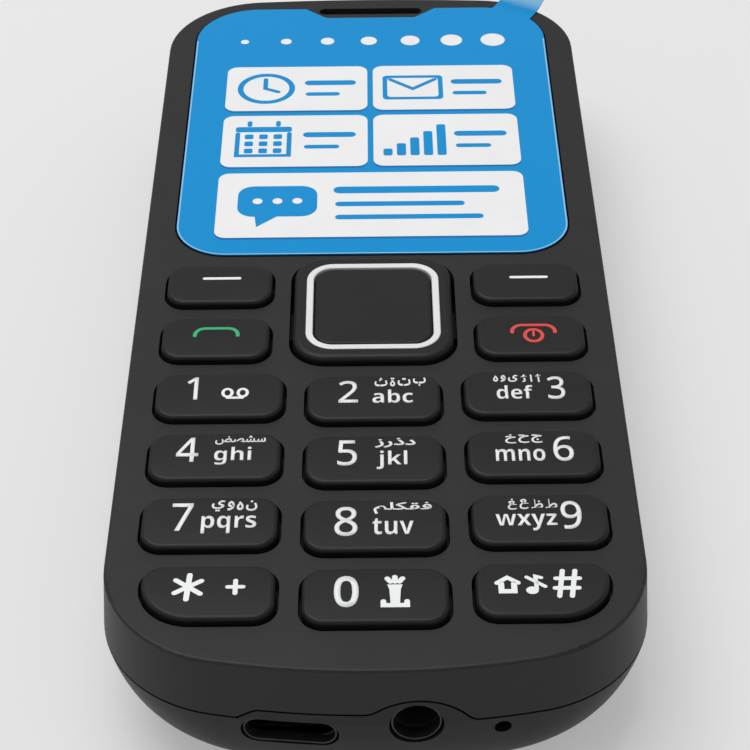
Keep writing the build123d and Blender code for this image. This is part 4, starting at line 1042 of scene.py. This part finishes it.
def label_marks(x, y, across, along):
    """The marks on a battery's label, from the battery's middle, width and length"""
    poles = y + along / 2 - POLE_DROP
    tips = [(POLE_REACH, 0), (0, POLE_REACH), (-POLE_REACH, 0), (0, -POLE_REACH)]
    marks = [patch(spokes(x - POLE_SPREAD, poles, POLE_LINE, *tips))]
    marks += patches(bars(x + POLE_SPREAD, poles, POLE_LINE, (-POLE_REACH, 0, POLE_REACH, 0)))
    marks += line_shapes(x, y, *LABEL_LINES)
    frame_size = (across - LABEL_FRAME_TRIM, LABEL_FRAME_HEIGHT, LABEL_FRAME_CORNER)
    return marks + [band(box_outline(x, y - along / 4, *frame_size), LABEL_FRAME_LINE)]


# The studio

# The floor's size and its drop under the phone in metres, and how pale it stays in the shadow
FLOOR_SIZE = 4
FLOOR_DROP = 0.0001
FLOOR_GLOW = 0.32

# The softbox's place and size in metres, its power in watts, and the strength of the room's light
LAMP_PLACE = (-0.15, 0.1)
LAMP_SIZE = 0.6
LAMP_POWER = 3.8
ROOM_STRENGTH = 0.45

# The camera's place and its sensor in millimetres, and the nearest thing that it sees in metres
CAMERA_PLACE = (0.13, -174.83, 141.44)
SENSOR_WIDTH = 36
NEAREST = 0.01


def add_floor(scene_colours):
    """The floor under the phone"""
    deselect()
    bpy.ops.mesh.primitive_plane_add(size=FLOOR_SIZE, location=(0, 0, -FLOOR_DROP))
    floor = bpy.context.object
    floor.name = "floor"
    bake_place(floor)
    finish = pale_floor("floor", scene_colours.floor, scene_colours.floor_shade, FLOOR_GLOW)
    floor.data.materials.append(finish)


def add_lights(scene, scene_colours):
    """The softbox over the phone and the light of the room"""
    place = (*LAMP_PLACE, sizes().lamp_height)
    deselect()
    bpy.ops.object.light_add(type="AREA", location=place)
    lamp = bpy.context.object
    lamp.name = "lamp_over"
    lamp.data.size = LAMP_SIZE
    lamp.data.energy = LAMP_POWER
    lamp.rotation_euler = Vector(place).to_track_quat("Z", "Y").to_euler()
    world = bpy.data.worlds.new("room")
    world.use_nodes = True
    background = world.node_tree.nodes["Background"]
    background.inputs["Color"].default_value = (*scene_colours.world, 1)
    background.inputs["Strength"].default_value = ROOM_STRENGTH
    scene.world = world


def add_camera(scene):
    """The camera at the photograph's angle"""
    deselect()
    bpy.ops.object.camera_add()
    camera = bpy.context.object
    camera.name = "camera"
    camera.data.lens = sizes().lens
    camera.data.sensor_width = SENSOR_WIDTH
    camera.data.clip_start = NEAREST
    place = Matrix.Translation(Vector(CAMERA_PLACE) * MM)
    turn = Matrix.Rotation(math.radians(90) - sizes().pitch, 4, "X")
    camera.matrix_world = place @ turn @ Matrix.Rotation(sizes().roll, 4, "Z")
    scene.camera = camera


# Operators

class PHONE_OT_finishes(bpy.types.Operator):
    """Gives every solid the finish of its slot"""
    bl_idname = "phone.finishes"
    bl_label = "Finishes"

    def execute(self, context):
        made = slot_finishes()
        for node, slot in SLOT_OF.items():
            NODES[node].data.materials[0] = made[slot]
        piece_finishes()
        shell = metal("socket_shell", colours().socket, roughness=0.38)
        NODES["usb_connector"].data.materials[0] = shell
        NODES["dome_sheet"].data.materials[0] = moulded("dome_film", (0.012, 0.012, 0.012), roughness=0.4)
        return {"FINISHED"}


class PHONE_OT_legends(bpy.types.Operator):
    """Prints the digits, letters and symbols on the keys"""
    bl_idname = "phone.legends"
    bl_label = "Key Legends"

    def execute(self, context):
        inks = {"call_key": "call_ink", "end_key": "end_ink"}
        for key in list(KEY_TEXTS) + SIGN_KEYS:
            texts = [piece for entry in KEY_TEXTS.get(key, []) for piece in words(*entry)]
            printed(texts + key_symbols(key), key, inks.get(key, "legend_ink"))
        return {"FINISHED"}


class PHONE_OT_film(bpy.types.Operator):
    """Prints panels and plain pictograms on the window film"""
    bl_idname = "phone.film"
    bl_label = "Film Printing"

    def execute(self, context):
        radius = sizes().panel_radius / MM
        drop = sizes().panel_shade / MM
        layer = sizes().film_ink
        shades = patches([box_outline(x, y - drop, across, high, radius) for x, y, across, high in PANELS])
        lay_on_film(shades, "film_shades", "shade_ink", 0)
        panels = patches([box_outline(*panel, radius) for panel in PANELS])
        lay_on_film(panels, "film_panels", "panel_ink", layer)
        lay_on_film(film_pictograms(), "film_pictograms", "film_ink", 2 * layer)
        lay_on_film(speech_dots(), "film_speech_dots", "panel_ink", 3 * layer)
        lay_on_film(header_dots(), "film_header_dots", "panel_ink", 0)
        # The painted highlight: a pale line along the film's edge for the light caught on it
        lay_on_film([patch(film_edge_highlight_line())], "film_edge_highlight", "edge_highlight_paint", 0)
        return {"FINISHED"}


class PHONE_OT_sockets(bpy.types.Operator):
    """Puts rims in the sockets' mouths and gold contacts in the data socket"""
    bl_idname = "phone.sockets"
    bl_label = "Sockets"

    def execute(self, context):
        jack = [oval(*JACK_PLACE, wide, wide, JACK_STEPS) for wide in (JACK_RIM, JACK_FLANGE)]
        socket_rim(*jack, JACK_LINE, "headphone_socket_rim")
        data = [box_outline(*DATA_PLACE, *shape) for shape in (DATA_RIM, DATA_FLANGE)]
        socket_rim(*data, DATA_LINE, "data_socket_rim")
        width = sizes().contact_width / MM
        strips = []
        for step in range(-2, 3):
            x = DATA_PLACE[0] + CONTACT_PITCH * step
            strips.append(patch(box_outline(x, CONTACT_Y, width, CONTACT_LENGTH, width / 3)))
        piece = join(strips)
        edit(piece)
        bpy.ops.transform.translate(value=(0, 0, BLADE_Z - CONTACT_LINE))
        leave()
        modify(piece, "SOLIDIFY", thickness=CONTACT_LINE, offset=1.0)
        settle(piece, "data_socket_contacts", "phone", "gold_plate")
        return {"FINISHED"}


class PHONE_OT_label(bpy.types.Operator):
    """Puts a plain label with marks for its poles on the battery"""
    bl_idname = "phone.label"
    bl_label = "Battery Label"

    def execute(self, context):
        low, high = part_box("battery")
        x, y = (low.x + high.x) / 2 / MM, (low.y + high.y) / 2 / MM
        across, along = (high.x - low.x) / MM, (high.y - low.y) / MM
        line = sizes().label_line
        paper = [patch(box_outline(x, y, across - LABEL_TRIM[0], along - LABEL_TRIM[1], LABEL_CORNER))]
        marks = label_marks(x, y, across, along)
        sheet = lay_flat(paper, low.z, line, side=-1.0)
        settle(sheet, "battery_label", "phone", "label_paper")
        ink = lay_flat(marks, low.z - line, line, side=-1.0)
        settle(ink, "battery_label_marks", "phone", "label_ink")
        return {"FINISHED"}


class PHONE_OT_stage(bpy.types.Operator):
    """Sets the floor, the soft light, the room's light and the camera"""
    bl_idname = "phone.stage"
    bl_label = "Studio"

    def execute(self, context):
        add_floor(colours())
        add_lights(context.scene, colours())
        add_camera(context.scene)
        context.scene.view_settings.view_transform = "Standard"
        return {"FINISHED"}


OPERATORS = (PHONE_OT_finishes, PHONE_OT_legends, PHONE_OT_film, PHONE_OT_sockets, PHONE_OT_label,
             PHONE_OT_stage)


class PHONE_PT_dressing(bpy.types.Panel):
    """Lists the steps that dress the phone"""
    bl_idname = "PHONE_PT_dressing"
    bl_label = "Bar Phone"
    bl_space_type = "VIEW_3D"
    bl_region_type = "UI"
    bl_category = "Bar Phone"

    def draw(self, context):
        for operator in OPERATORS:
            self.layout.operator(operator.bl_idname)
        for group in (context.scene.phone_colours, context.scene.phone_sizes):
            column = self.layout.column()
            for name in group.__annotations__:
                column.prop(group, name)


CLASSES = (PhoneColours, PhoneSizes) + OPERATORS + (PHONE_PT_dressing,)


def register():
    for cls in CLASSES:
        bpy.utils.register_class(cls)
    bpy.types.Scene.phone_colours = bpy.props.PointerProperty(type=PhoneColours)
    bpy.types.Scene.phone_sizes = bpy.props.PointerProperty(type=PhoneSizes)


def unregister():
    del bpy.types.Scene.phone_sizes
    del bpy.types.Scene.phone_colours
    for cls in reversed(CLASSES):
        bpy.utils.unregister_class(cls)


def main():
    """Dresses the phone step by step"""
    register()
    bpy.ops.phone.finishes()
    bpy.ops.phone.legends()
    bpy.ops.phone.film()
    bpy.ops.phone.sockets()
    bpy.ops.phone.label()
    bpy.ops.phone.stage()


if __name__ == "__main__":
    main()
